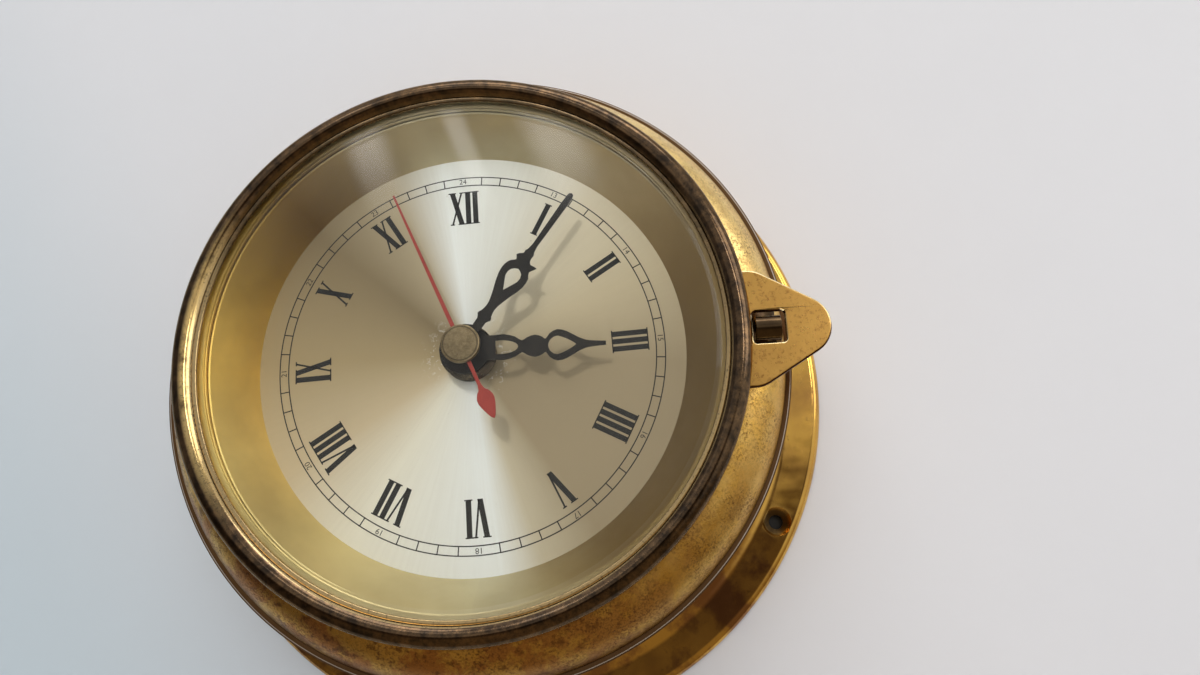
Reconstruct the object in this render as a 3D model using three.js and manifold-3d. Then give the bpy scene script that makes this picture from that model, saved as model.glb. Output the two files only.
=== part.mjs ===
// A ship's deck clock: a spun brass porthole housing with a wall flange, a hinged and latched
// glass door, a silvered dial and a battery quartz movement. Millimetres, +Z up.
//
// Every piece is drawn in the clock frame: the dial's face is the plane z = 0, +Z points at the
// viewer, +X at III and +Y at XII. The group at the end stands the clock upright against the
// wall plane y = 0, facing -Y.
import * as THREE from 'three';
import { mergeVertices } from 'three/addons/utils/BufferGeometryUtils.js';
import Module from 'manifold-3d';

const wasm = await Module();
wasm.setup();

// ---- Driving dimensions (mm, heights measured from the dial's face) ----
const RING_STEPS = 40;                 // facets round a large ring
const SMALL_STEPS = 20;                // facets round a post, pipe or rivet
const TINY_STEPS = 12;                 // facets round a pivot
const RUNNING_GAP = 0.2;               // radial clearance of a pivot in its hole

const WALL_Z = -43;                    // the wall plane
const SHEET = { back: 0.7, front: 0.8 };
const FLANGE = { radius: 75, topZ: -40.2, rimRadius: 2, filletRadius: 4.5 };
const DRUM = { radius: 62.9, topZ: -3 };
const SCREW_HOLES = { count: 3, circle: 70, radius: 1.6, dimpleRadius: 3.3, depth: 1.7 };
const SHOULDER = { centreR: 50, centreZ: -5, spanR: 11.9, spanZ: 10, skirtZ: -9 };
const COLLAR = { outer: 50.2, lipInner: 46.5, lipTopZ: -0.8 };
const COVER = { radius: 61.8, sheet: 0.9, rimZ: -36.5, windowRadius: 12 };

const DIAL = { radius: 49.2, thickness: 0.8, hole: 4.3 };
const CONE = { innerR: 42.3, crestR: 47.9, outerR: 48.15, footR: 49.2, crestZ: 9.5, stepZ: 5.9,
  sheet: 0.6 };

const DOOR = { outer: 52.5, pocket: 50.1, skirtZ: 5.6, beadR: 51.63, beadZ: 12.2, beadRadius: 2.1 };
const DOOR_LIP = { inner: 48.95, outer: 50.2, topZ: 12.95, bottomZ: 12.3 };
const GLASS = { flatR: 47.3, shoulderR: 49, radius: 49.8, topZ: 13, shoulderZ: 12.2, edgeZ: 11.75,
  bottomZ: 10.5 };
const GASKET = { inner: 48, outer: 49.95, bottomZ: 9.8, topZ: 10.45 };
const RETAINER = { inner: 48.3, outer: 49.95, bottomZ: 8.95, topZ: 9.75 };

const DOOR_PLATE = { bottomZ: 7.9, topZ: 8.9, gap: 0.1 };
const TAB = { halfWidth: 11.25, shoulderX: 55.4, tipX: 63, tipRadius: 5.8, corner: 1.5 };
const LATCH_ANGLE = 92.2;               // degrees clockwise from XII
const TAB_HOLE = { x0: 54.4, x1: 60.3, halfWidth: 2.95, corner: 0.6 };
const CATCH = { x0: 54.9, x1: 59.6, halfWidth: 2.4, topZ: 9.7, round: 2.2, sheet: 0.7,
  footHalf: 7.6, seat: 0.12 };
const CATCH_RIVET = { radius: 57.4, angle: 5.7, shank: 0.8, head: 1.2, headHeight: 0.6, tail: 1.8 };

const HINGE = { x: -55.3, z: 5.3, barrel: 1, bore: 0.55, pin: 0.45, doorHalf: 5.8, caseFrom: 6.1,
  caseTo: 12, pinHalf: 12.3, sheet: 0.6, bend: 1.8, leafReach: 2.3, leafRise: 0.5, steps: 16 };

const HOUSING = { side: 56, corner: 4, frontZ: -1.8, splitZ: -9.8, backZ: -17.8, wall: 1.2 };
const BUSH = { outer: 4, inner: 2.75, topZ: 4.3 };
const PIVOT_R = 0.4;                   // arbor of the third and intermediate wheels and the rotor
const STUD_R = 0.5;                    // fixed post that the motion wheel turns on
const STEM_R = 1;                      // setting knob's stem
const ROTOR_MAGNET_R = 2.6;
const NUT = { outer: 5.3, inner: 4.15, topZ: 3.9, ribs: 4, ribDepth: 0.25 };
const WASHER = { inner: 4.2, outer: 8 };
const BOARD = { x0: -25, x1: -14.6, y0: 1, y1: 20, lowZ: -13.4, highZ: -12.4 };
const CRYSTAL = { radius: 1, length: 6, x: -19, y: 6 };
const CONTACT = { thickness: 0.5, halfWidth: 3.5, halfHeight: 4 };
const KNOB_GRIP = { flutes: 24, module: 0.5, lowZ: -22.2, highZ: -18.2 };
const BATTERY = { radius: 7.1, length: 48.6, y: -18.4, z: -10.4, nubRadius: 2.6, nubLength: 1.2 };

const HOUR_PIPE = { outer: 2.5, inner: 1.8, topZ: 5.65 };
const MINUTE_PIPE = { outer: 1.5, inner: 0.8, topZ: 7.35 };
const SECOND_ARBOR = { radius: 0.5, topZ: 8.7 };
const HAND = { hourZ: 5.3, hourThick: 0.35, hourHub: 4.9, minuteZ: 7, minuteThick: 0.35,
  minuteHub: 2.9, secondZ: 8.4, secondThick: 0.3, secondHub: 1.9, fit: 0.04 };
const CAP = { radius: 3.7, bottomZ: 8.76, topZ: 9.7, bevel: 0.25 };

// hand directions at rest, in degrees clockwise from XII
const HOUR_ANGLE = 93.2;
const MINUTE_ANGLE = 38.4;
const SECOND_ANGLE = -21.1;

// gear teeth, as parts of the module
const ADDENDUM = 0.95;
const DEDENDUM = 1.2;
const ROOT_SHARE = 0.8;                // share of the pitch that a tooth fills at its root

// gear layers: [low, high] heights of each wheel or pinion
const LAYER = {
  hourWheel: [-4.4, -3.6], motionPinion: [-4.5, -3.5],
  motionWheel: [-6, -5.2], cannonPinion: [-6.1, -5.1],
  centreWheel: [-7.8, -7], thirdPinion: [-7.9, -6.9],
  plate: [-9.4, -8.6],
  thirdWheel: [-10.9, -10.2], secondsPinion: [-11, -10.1],
  secondsWheel: [-12.3, -11.6], intermediatePinion: [-12.4, -11.5],
  intermediateWheel: [-13.8, -13.2], rotorPinion: [-13.9, -13.1],
  magnet: [-12.6, -10], stator: [-11.9, -11.1], pivotEnd: [-16.4, -15.4],
};
// modules in mm; the third wheel's and the motion wheel's two meshes share one centre distance
const MODULE = { seconds: 18 / 68, centre: 0.25, hour: 0.32, cannon: 1 / 3, intermediate: 0.25,
  rotor: 0.22 };
const TEETH = { rotor: 8, intermediateWheel: 40, intermediatePinion: 8, secondsWheel: 48,
  secondsPinion: 8, thirdWheel: 60, thirdPinion: 8, centreWheel: 64, cannonPinion: 12,
  motionWheel: 36, motionPinion: 10, hourWheel: 40, settingWheel: 18 };

const centreDistance = (first, second, module) => (first + second) * module / 2;
const THIRD_X = -centreDistance(TEETH.secondsPinion, TEETH.thirdWheel, MODULE.seconds);
const INTERMEDIATE_X = centreDistance(
  TEETH.intermediatePinion, TEETH.secondsWheel, MODULE.intermediate);
const ROTOR_X = INTERMEDIATE_X + centreDistance(TEETH.rotor, TEETH.intermediateWheel, MODULE.rotor);
const MOTION_Y = centreDistance(TEETH.cannonPinion, TEETH.motionWheel, MODULE.cannon);
const SETTING_Y = MOTION_Y
  + centreDistance(TEETH.motionWheel, TEETH.settingWheel, MODULE.cannon);

// ---- Materials ----
function finish(color, roughness, metalness) {
  return () => new THREE.MeshStandardMaterial({ color, roughness, metalness, flatShading: true });
}
const polishedBrass = finish('#c9a25a', 0.18, 1);
const agedBrass = finish('#a98548', 0.38, 1);
const bronzeBead = finish('#5f4628', 0.34, 1);
const satinGold = finish('#c8a460', 0.35, 1);
const silverDial = finish('#d3cbb6', 0.34, 0.8);
const clearGlass = finish('#e8efe4', 0.03, 0);
const blackPaint = finish('#26231f', 0.45, 0.1);
const redPaint = finish('#b5332b', 0.4, 0);
const capBrass = finish('#8f7f57', 0.3, 1);
const darkBronze = finish('#3a3123', 0.4, 0.9);
const rubberBlack = finish('#1c1c1c', 0.85, 0);
const movementPlastic = finish('#2b2c2e', 0.55, 0);
const coverPlastic = finish('#17181a', 0.5, 0);
const gearPlastic = finish('#e6e2d4', 0.45, 0);
const steel = finish('#b9bcc0', 0.28, 1);
const springSteel = finish('#a9acae', 0.35, 1);
const copperWire = finish('#b06a34', 0.4, 0.9);
const boardGreen = finish('#2f6b45', 0.6, 0);
const batterySkin = finish('#3c5a78', 0.4, 0.1);

// ---- Solid helpers ----
function signedVolume(geometry) {
  const position = geometry.attributes.position;
  const index = geometry.index.array;
  const corner = [new THREE.Vector3(), new THREE.Vector3(), new THREE.Vector3()];
  let volume = 0;
  for (let i = 0; i < index.length; i += 3) {
    corner.forEach((point, k) => point.fromBufferAttribute(position, index[i + k]));
    volume += corner[0].dot(corner[1].cross(corner[2])) / 6;
  }
  return volume;
}

// Welds a closed surface's shared corners, drops its collapsed triangles and faces it outward
function weld(source) {
  const bare = source.clone();
  bare.deleteAttribute('normal');
  bare.deleteAttribute('uv');
  const welded = mergeVertices(bare, 1e-5);
  const index = welded.index.array;
  const kept = [];
  for (let i = 0; i < index.length; i += 3) {
    const [a, b, c] = [index[i], index[i + 1], index[i + 2]];
    if (a !== b && b !== c && c !== a) kept.push(a, b, c);
  }
  welded.setIndex(kept);
  if (signedVolume(welded) < 0) welded.setIndex(kept.reverse());
  return welded;
}

function toSolid(geometry) {
  const welded = weld(geometry);
  return new wasm.Manifold(new wasm.Mesh({
    numProp: 3,
    vertProperties: new Float32Array(welded.attributes.position.array),
    triVerts: new Uint32Array(welded.index.array),
  }));
}

function toGeometry(solid) {
  const mesh = solid.getMesh();
  const geometry = new THREE.BufferGeometry();
  geometry.setAttribute('position', new THREE.BufferAttribute(mesh.vertProperties, 3));
  geometry.setIndex(new THREE.BufferAttribute(mesh.triVerts, 1));
  return geometry;
}

// Joins the first list of geometries and cuts the second from them
function carve(joined, cut = []) {
  let solid = toSolid(joined[0]);
  for (const piece of joined.slice(1)) solid = solid.add(toSolid(piece));
  for (const piece of cut) solid = solid.subtract(toSolid(piece));
  return toGeometry(solid);
}

function common(first, second) {
  return toGeometry(toSolid(first).intersect(toSolid(second)));
}

const degrees = (angle) => THREE.MathUtils.degToRad(angle);

// Points [r, z] of an elliptic arc, from one angle to the other (degrees from +r towards +z)
function arc(r, z, spanR, spanZ, from, to, steps) {
  const points = [];
  for (let i = 0; i <= steps; i += 1) {
    const angle = degrees(from + (to - from) * i / steps);
    points.push([r + spanR * Math.cos(angle), z + spanZ * Math.sin(angle)]);
  }
  return points;
}

// A solid of revolution about Z from a profile of [r, z] points that starts and ends on the axis
function revolve(profile, steps = RING_STEPS) {
  const points = profile.map(([r, z]) => new THREE.Vector2(r, z));
  return weld(new THREE.LatheGeometry(points, steps).rotateX(Math.PI / 2));
}

// A ring of revolution: its profile closes on itself
function revolveRing(profile, steps = RING_STEPS) {
  return revolve([...profile, profile[0]], steps);
}

function rod(radius, lowZ, highZ, steps = SMALL_STEPS) {
  return revolve([[0, lowZ], [radius, lowZ], [radius, highZ], [0, highZ]], steps);
}

function pipe(inner, outer, lowZ, highZ, steps = SMALL_STEPS) {
  return revolveRing([[inner, lowZ], [outer, lowZ], [outer, highZ], [inner, highZ]], steps);
}

function slab(shape, lowZ, highZ, curveSegments = 6) {
  const options = { depth: highZ - lowZ, bevelEnabled: false, curveSegments };
  return weld(new THREE.ExtrudeGeometry(shape, options).translate(0, 0, lowZ));
}

function block(x0, x1, y0, y1, z0, z1) {
  const box = new THREE.BoxGeometry(x1 - x0, y1 - y0, z1 - z0);
  return weld(box.translate((x0 + x1) / 2, (y0 + y1) / 2, (z0 + z1) / 2));
}

function roundedRect(x0, x1, y0, y1, corner) {
  const shape = new THREE.Shape();
  shape.moveTo(x0 + corner, y0);
  shape.lineTo(x1 - corner, y0);
  shape.absarc(x1 - corner, y0 + corner, corner, -Math.PI / 2, 0);
  shape.lineTo(x1, y1 - corner);
  shape.absarc(x1 - corner, y1 - corner, corner, 0, Math.PI / 2);
  shape.lineTo(x0 + corner, y1);
  shape.absarc(x0 + corner, y1 - corner, corner, Math.PI / 2, Math.PI);
  shape.lineTo(x0, y0 + corner);
  shape.absarc(x0 + corner, y0 + corner, corner, Math.PI, 3 * Math.PI / 2);
  return shape;
}

function polygon(points) {
  return new THREE.Shape(points.map(([x, y]) => new THREE.Vector2(x, y)));
}

// A strip drawn in the X-Z plane, [x, z] points, and run along Y
function stripAlongY(points, lowY, highY) {
  const flat = slab(polygon(points.map(([x, z]) => [x, z])), 0, highY - lowY);
  return weld(flat.rotateX(Math.PI / 2).translate(0, highY, 0));
}

function mesh(name, geometry, material) {
  const drawn = geometry.clone();
  drawn.computeVertexNormals();
  const node = new THREE.Mesh(drawn, material());
  node.name = name;
  return node;
}

// ---- Housing shells ----
function backShellProfile() {
  const sheet = SHEET.back;
  const filletR = DRUM.radius + FLANGE.filletRadius;
  const filletZ = FLANGE.topZ + FLANGE.filletRadius;
  const rimR = FLANGE.radius - FLANGE.rimRadius;
  const rimZ = FLANGE.topZ - FLANGE.rimRadius;
  const inside = FLANGE.filletRadius + sheet;
  const rimInside = FLANGE.rimRadius - sheet;
  return [
    [DRUM.radius, DRUM.topZ],
    ...arc(filletR, filletZ, FLANGE.filletRadius, FLANGE.filletRadius, 180, 270, 4),
    ...arc(rimR, rimZ, FLANGE.rimRadius, FLANGE.rimRadius, 90, 0, 3),
    [FLANGE.radius, WALL_Z],
    [FLANGE.radius - sheet, WALL_Z],
    ...arc(rimR, rimZ, rimInside, rimInside, 0, 90, 2),
    ...arc(filletR, filletZ, inside, inside, 270, 180, 4),
    [DRUM.radius - sheet, DRUM.topZ],
  ];
}

// A cone on the Z axis, from the bottom of a screw hole's dimple up to `topZ`
function dimpleCone(extra, lowerBy, topZ) {
  const bottomZ = FLANGE.topZ - SCREW_HOLES.depth - lowerBy;
  return revolve([
    [0, bottomZ],
    [SCREW_HOLES.radius + extra, bottomZ],
    [SCREW_HOLES.dimpleRadius + extra, topZ],
    [0, topZ],
  ], SMALL_STEPS);
}

function screwHoleAngles() {
  const turns = [...Array(SCREW_HOLES.count).keys()];
  return turns.map((turn) => Math.PI / 2 - turn * 2 * Math.PI / SCREW_HOLES.count);
}

function backShell() {
  const place = (geometry, angle) => geometry.clone().translate(SCREW_HOLES.circle, 0, 0)
    .rotateZ(angle);
  const cup = dimpleCone(SHEET.back, SHEET.back / 2, FLANGE.topZ - SHEET.back / 2);
  const cone = dimpleCone(0, 0, FLANGE.topZ + 0.01);
  const drill = rod(SCREW_HOLES.radius, WALL_Z - 1, FLANGE.topZ);
  const angles = screwHoleAngles();
  const cups = angles.map((angle) => place(cup, angle));
  const cones = angles.map((angle) => place(cone, angle));
  const drills = angles.map((angle) => place(drill, angle));
  const shell = carve([revolveRing(backShellProfile()), ...cups], [...cones, ...drills]);
  return mesh('back_shell', shell, polishedBrass);
}

// The shoulder's quarter ellipse moved out (or in) by `offset`
function shoulderArc(offset, from, to, steps) {
  return arc(SHOULDER.centreR, SHOULDER.centreZ, SHOULDER.spanR + offset,
    SHOULDER.spanZ + offset, from, to, steps);
}

// Everything inside the shoulder's surface moved out by `offset`
function shoulderBody(offset) {
  const topZ = SHOULDER.centreZ + SHOULDER.spanZ + offset;
  const skirtR = SHOULDER.centreR + SHOULDER.spanR + offset;
  return revolve([
    [0, SHOULDER.skirtZ],
    [skirtR, SHOULDER.skirtZ],
    ...shoulderArc(offset, 0, 90, 8),
    [0, topZ],
  ], RING_STEPS * 2);
}

function frontShellProfile() {
  const sheet = SHEET.front;
  const skirtR = SHOULDER.centreR + SHOULDER.spanR;
  const collarInner = COLLAR.outer - sheet;
  return [
    [COLLAR.lipInner, COLLAR.lipTopZ],
    [collarInner, COLLAR.lipTopZ],
    [collarInner, SHOULDER.centreZ + SHOULDER.spanZ - sheet / 2],
    ...shoulderArc(0, 90, 0, 8),
    [skirtR, SHOULDER.skirtZ],
    [skirtR - sheet, SHOULDER.skirtZ],
    ...shoulderArc(-sheet, 0, 84, 6),
    [COLLAR.outer, COLLAR.lipTopZ - sheet],
    [COLLAR.lipInner, COLLAR.lipTopZ - sheet],
  ];
}

// Turns a piece drawn on the Z axis so that it stands square on the shoulder at a catch rivet
function onShoulder(geometry, angle) {
  const share = (CATCH_RIVET.radius - SHOULDER.centreR) / SHOULDER.spanR;
  const lean = Math.atan2(SHOULDER.spanZ * share, SHOULDER.spanR * Math.sqrt(1 - share * share));
  const height = SHOULDER.centreZ + SHOULDER.spanZ * Math.sqrt(1 - share * share);
  return geometry.clone().rotateY(lean).translate(CATCH_RIVET.radius, 0, height)
    .rotateZ(degrees(angle));
}

function rivetDrill(angle) {
  const drill = rod(CATCH_RIVET.shank + 0.1, -2.5, 2.5, TINY_STEPS);
  return onShoulder(drill, angle);
}

function frontShell() {
  const latchTurn = 90 - LATCH_ANGLE;
  const drills = [rivetDrill(latchTurn + CATCH_RIVET.angle), rivetDrill(latchTurn - CATCH_RIVET.angle)];
  return mesh('front_shell', carve([revolveRing(frontShellProfile())], drills), agedBrass);
}

function backCover() {
  const { radius, sheet, rimZ, windowRadius } = COVER;
  const pan = revolve([
    [0, WALL_Z],
    [radius, WALL_Z],
    [radius, rimZ],
    [radius - sheet, rimZ],
    [radius - sheet, WALL_Z + sheet],
    [0, WALL_Z + sheet],
  ]);
  const window = rod(windowRadius, WALL_Z - 1, WALL_Z + 2 * sheet).translate(0, SETTING_Y, 0);
  return mesh('back_cover', carve([pan], [window]), coverPlastic);
}

// ---- Dial and cone ring ----
function dialPlate() {
  return mesh('dial_plate', pipe(DIAL.hole, DIAL.radius, -DIAL.thickness, 0, RING_STEPS),
    silverDial);
}

function innerRing() {
  const { innerR, crestR, outerR, footR, crestZ, stepZ, sheet } = CONE;
  return mesh('inner_ring', revolveRing([
    [innerR, 0],
    [crestR - 0.2, crestZ - 0.15],
    [crestR, crestZ],
    [outerR, crestZ - 0.2],
    [outerR, stepZ],
    [footR, stepZ - 1],
    [footR, 0],
    [footR - sheet, 0],
    [footR - sheet, stepZ - 1.3],
    [outerR - sheet, stepZ - 0.5],
    [outerR - sheet, crestZ - 1.5],
    [innerR + 1.2 * sheet, 0],
  ]), satinGold);
}

// ---- Door ----
function bezelRing() {
  const { outer, pocket, skirtZ, beadR, beadZ, beadRadius } = DOOR;
  const grooveZ = DOOR_LIP.bottomZ + 0.3;
  return mesh('bezel_ring', revolveRing([
    [pocket, skirtZ],
    [outer, skirtZ],
    [outer, beadZ - beadRadius],
    ...arc(beadR, beadZ, beadRadius, beadRadius, -50, 150, 8),
    [DOOR_LIP.outer, grooveZ],
    [DOOR_LIP.outer - 0.15, DOOR_LIP.topZ],
    [DOOR_LIP.inner, DOOR_LIP.topZ - 0.15],
    [DOOR_LIP.inner, DOOR_LIP.bottomZ],
    [pocket, DOOR_LIP.bottomZ],
  ]), bronzeBead);
}

function glass() {
  const { flatR, shoulderR, radius, topZ, shoulderZ, edgeZ, bottomZ } = GLASS;
  return mesh('glass', revolve([
    [0, bottomZ],
    [radius, bottomZ],
    [radius, edgeZ],
    [shoulderR, shoulderZ],
    [flatR, topZ],
    [0, topZ],
  ]), clearGlass);
}

function glassGasket() {
  return mesh('glass_gasket', pipe(GASKET.inner, GASKET.outer, GASKET.bottomZ, GASKET.topZ,
    RING_STEPS), rubberBlack);
}

function glassRetainingRing() {
  return mesh('glass_retaining_ring', pipe(RETAINER.inner, RETAINER.outer, RETAINER.bottomZ,
    RETAINER.topZ, RING_STEPS), satinGold);
}

// The latch tab's plan: straight edges run from two shoulders to the round tip
function latchTabShape() {
  const { halfWidth, shoulderX, tipX, tipRadius, corner } = TAB;
  const reach = Math.hypot(tipX - shoulderX, halfWidth);
  const toTip = Math.atan2(-halfWidth, tipX - shoulderX);
  const edge = toTip + Math.asin(tipRadius / reach);
  const tangent = edge + Math.PI / 2;
  const shape = new THREE.Shape();
  shape.moveTo(DOOR.outer - 4, -halfWidth);
  shape.lineTo(shoulderX - corner, -halfWidth);
  shape.quadraticCurveTo(shoulderX, -halfWidth, shoulderX + corner * Math.cos(edge),
    -halfWidth - corner * Math.sin(edge));
  shape.absarc(tipX, 0, tipRadius, -tangent, tangent);
  shape.lineTo(shoulderX + corner * Math.cos(edge), halfWidth + corner * Math.sin(edge));
  shape.quadraticCurveTo(shoulderX, halfWidth, shoulderX - corner, halfWidth);
  shape.lineTo(DOOR.outer - 4, halfWidth);
  shape.holes.push(roundedRect(TAB_HOLE.x0, TAB_HOLE.x1, -TAB_HOLE.halfWidth,
    TAB_HOLE.halfWidth, TAB_HOLE.corner));
  return shape;
}

function skirtCutter() {
  const { bottomZ, topZ, gap } = DOOR_PLATE;
  return rod(DOOR.outer + gap, bottomZ - 9, topZ + 9, RING_STEPS * 3);
}

// Turns a piece drawn at 3 o'clock to the latch's own place
function onLatch(node) {
  return turned(node, LATCH_ANGLE - 90);
}

function latchTab() {
  const plate = slab(latchTabShape(), DOOR_PLATE.bottomZ, DOOR_PLATE.topZ);
  return onLatch(mesh('latch_tab', carve([plate], [skirtCutter()]), satinGold));
}

// The bow of a strip bent into an upside-down U, as [y, z] points
function bowProfile() {
  const { halfWidth, topZ, sheet, round } = CATCH;
  const inside = round - sheet;
  const centreY = halfWidth - round;
  const centreZ = topZ - round;
  return [
    [halfWidth, SHOULDER.centreZ],
    ...arc(centreY, centreZ, round, round, 0, 90, 5),
    ...arc(-centreY, centreZ, round, round, 90, 180, 5),
    [-halfWidth, SHOULDER.centreZ],
    [sheet - halfWidth, SHOULDER.centreZ],
    ...arc(-centreY, centreZ, inside, inside, 180, 90, 5),
    ...arc(centreY, centreZ, inside, inside, 90, 0, 5),
    [halfWidth - sheet, SHOULDER.centreZ],
  ];
}

function catchSpring() {
  const { x0, x1, footHalf, sheet, seat } = CATCH;
  const flat = slab(polygon(bowProfile()), x0, x1);
  const bow = flat.rotateX(Math.PI / 2).rotateZ(Math.PI / 2);
  const footBlock = block(x0, x1, -footHalf, footHalf, SHOULDER.centreZ, CATCH.topZ - sheet);
  const foot = common(footBlock, shoulderBody(seat + sheet));
  const drills = [rivetDrill(CATCH_RIVET.angle), rivetDrill(-CATCH_RIVET.angle)];
  const spring = carve([weld(bow), foot], [shoulderBody(seat), ...drills]);
  return onLatch(mesh('catch_spring', spring, darkBronze));
}

function catchRivet(name, angle) {
  const { shank, head, headHeight, tail } = CATCH_RIVET;
  const seatZ = CATCH.sheet + CATCH.seat + 0.04;
  const rivet = revolve([
    [0, -tail],
    [shank, -tail],
    [shank, seatZ],
    [head, seatZ],
    ...arc(0, seatZ, head, headHeight, 25, 70, 2),
    [0, seatZ + headHeight],
  ], TINY_STEPS);
  return onLatch(mesh(name, onShoulder(rivet, angle), agedBrass));
}

// ---- Hinge ----
function barrel(inner, outer, lowY, highY) {
  const tube = pipe(inner, outer, lowY, highY, HINGE.steps);
  return tube.rotateX(-Math.PI / 2).translate(HINGE.x, 0, HINGE.z);
}

function doorLeaf() {
  const { x, z, barrel: radius, sheet, doorHalf, bore, bend } = HINGE;
  const outerX = x - radius;
  const bendX = outerX + bend;
  const bendZ = DOOR_PLATE.topZ - bend;
  const inner = bend - sheet;
  const insideX = 5 - DOOR.outer;        // past the skirt, which is then cut away
  const strip = stripAlongY([
    [outerX, z],
    ...arc(bendX, bendZ, bend, bend, 180, 90, 5),
    [insideX, DOOR_PLATE.topZ],
    [insideX, DOOR_PLATE.topZ - sheet],
    ...arc(bendX, bendZ, inner, inner, 90, 180, 5),
    [outerX + sheet, z],
  ], -doorHalf, doorHalf);
  const hole = rod(bore, -doorHalf - 1, doorHalf + 1, HINGE.steps).rotateX(-Math.PI / 2)
    .translate(x, 0, z);
  const leaf = carve([strip, barrel(bore, radius, -doorHalf, doorHalf)], [hole, skirtCutter()]);
  return mesh('hinge_door_leaf', leaf, agedBrass);
}

function caseLeaf() {
  const { x, z, barrel: radius, sheet, doorHalf, caseFrom, caseTo, bore } = HINGE;
  const bottomZ = z - radius;
  const edgeX = x + HINGE.leafReach;
  const edgeZ = bottomZ + HINGE.leafRise;
  const strip = stripAlongY([
    [x, bottomZ],
    [edgeX, edgeZ],
    [edgeX, edgeZ + sheet],
    [x, bottomZ + sheet],
  ], -caseTo, caseTo);
  const sides = [-1, 1];
  const knuckles = sides.map((side) => barrel(bore, radius, Math.min(side * caseFrom, side * caseTo),
    Math.max(side * caseFrom, side * caseTo)));
  const gapHalf = doorHalf + 0.25;
  const notch = block(x - 2 * radius, x + radius + 0.4, -gapHalf, gapHalf, bottomZ - 1,
    bottomZ + 2 * radius);
  const hole = rod(bore, -caseTo - 1, caseTo + 1, HINGE.steps).rotateX(-Math.PI / 2)
    .translate(x, 0, z);
  return mesh('hinge_case_leaf', carve([strip, ...knuckles], [notch, hole]), agedBrass);
}

function hingePin() {
  const pin = rod(HINGE.pin, -HINGE.pinHalf, HINGE.pinHalf, HINGE.steps);
  return mesh('hinge_pin', pin.rotateX(-Math.PI / 2).translate(HINGE.x, 0, HINGE.z), steel);
}

// ---- Hands ----
// A smooth closed outline through [x, y] points
function smooth(points, divisions) {
  const vectors = points.map(([x, y]) => new THREE.Vector3(x, y, 0));
  const curve = new THREE.CatmullRomCurve3(vectors, false, 'centripetal');
  return curve.getPoints(divisions).map((point) => [point.x, point.y]);
}

const mirrored = (points) => points.map(([x, y]) => [-x, y]).reverse();

function hub(radius, steps) {
  return arc(0, 0, radius, radius, 0, 360 - 360 / steps, steps - 1);
}

// Cuts holes through an outline and joins a round hub with a bore; hands point at +Y
function hand(outline, holes, hubRadius, bore, lowZ, thick) {
  const highZ = lowZ + thick;
  const blade = slab(polygon(outline), lowZ, highZ);
  const disc = slab(polygon(hub(hubRadius, 24)), lowZ, highZ);
  const cuts = holes.map((points) => slab(polygon(points), lowZ - 1, highZ + 1));
  return carve([blade, disc], [...cuts, rod(bore, lowZ - 1, highZ + 1)]);
}

function turned(node, clockwiseDegrees) {
  node.rotation.z = -degrees(clockwiseDegrees);
  return node;
}

function hourHand() {
  const side = smooth([
    [2.4, 3], [2.4, 5.9], [2.5, 7.6], [1.95, 9.7], [1.15, 11], [1.7, 12], [2.15, 13.5],
    [1.7, 14.9], [1.25, 15.5], [2.3, 16.3], [3.05, 17.8], [2.6, 19.6], [1.45, 21.6], [0.75, 23.2],
    [0.5, 25], [0.38, 27]], 30);
  const front = [[-1.35, 5.9], ...smooth([
    [1.35, 5.9], [1.4, 7.2], [1.15, 8.8], [0.65, 9.9], [0, 10.3], [-0.65, 9.9], [-1.15, 8.8],
    [-1.4, 7.2], [-1.35, 5.9]], 14).slice(0, -1)];
  const pear = smooth([
    [0, 16], [1, 16.3], [1.85, 17.5], [1.45, 19], [0.6, 20.6], [0, 21.4]], 9);
  const pearHole = [...pear, ...mirrored(pear).slice(1, -1)];
  const body = hand([...side, ...mirrored(side)], [front, pearHole], HAND.hourHub,
    HOUR_PIPE.outer + HAND.fit, HAND.hourZ, HAND.hourThick);
  return turned(mesh('hour_hand', body, blackPaint), HOUR_ANGLE);
}

function minuteHand() {
  const right = smooth([
    [1, 0], [1, 6.3], [1.5, 7], [1.1, 7.9], [0.9, 9.4], [1.7, 12.3], [2.8, 15.4],
    [2.85, 17.6], [2.15, 18.9], [3, 20.3], [1.5, 20.3], [0.95, 21.3], [1, 22.2], [0.62, 23],
    [0.6, 30], [0.6, 36], [0.4, 36.7], [0, 36.9]], 36);
  const left = smooth([
    [0, 36.9], [-0.4, 36.7], [-0.6, 36], [-0.6, 30], [-0.62, 23], [-1, 22.2],
    [-0.9, 21.7], [-2, 20.7], [-1.4, 19.8], [-2.3, 19], [-2.85, 17.6], [-2.7, 15.4],
    [-1.35, 11.4], [-0.9, 9.4], [-1.1, 7.9], [-1.5, 7], [-1, 6.3], [-1, 0]], 36);
  const half = smooth([[0, 13.3], [0.8, 14.8], [1.5, 16.5], [1.1, 17.8], [0, 18.4]], 7);
  const hole = [...half, ...mirrored(half).slice(1, -1)];
  const body = hand([...right, ...left.slice(1)], [hole], HAND.minuteHub,
    MINUTE_PIPE.outer + HAND.fit, HAND.minuteZ, HAND.minuteThick);
  return turned(mesh('minute_hand', body, blackPaint), MINUTE_ANGLE);
}

function secondHand() {
  const right = smooth([
    [0.2, 34], [0.4, 4], [0.42, -3], [0.5, -9.4], [1.1, -10.1], [1.65, -11.5], [1.1, -13.6],
    [0.35, -15.2], [0, -15.5]], 20);
  const body = hand([...right, ...mirrored(right).slice(1)], [], HAND.secondHub,
    SECOND_ARBOR.radius + HAND.fit, HAND.secondZ, HAND.secondThick);
  return turned(mesh('second_hand', body, redPaint), SECOND_ANGLE);
}

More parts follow.
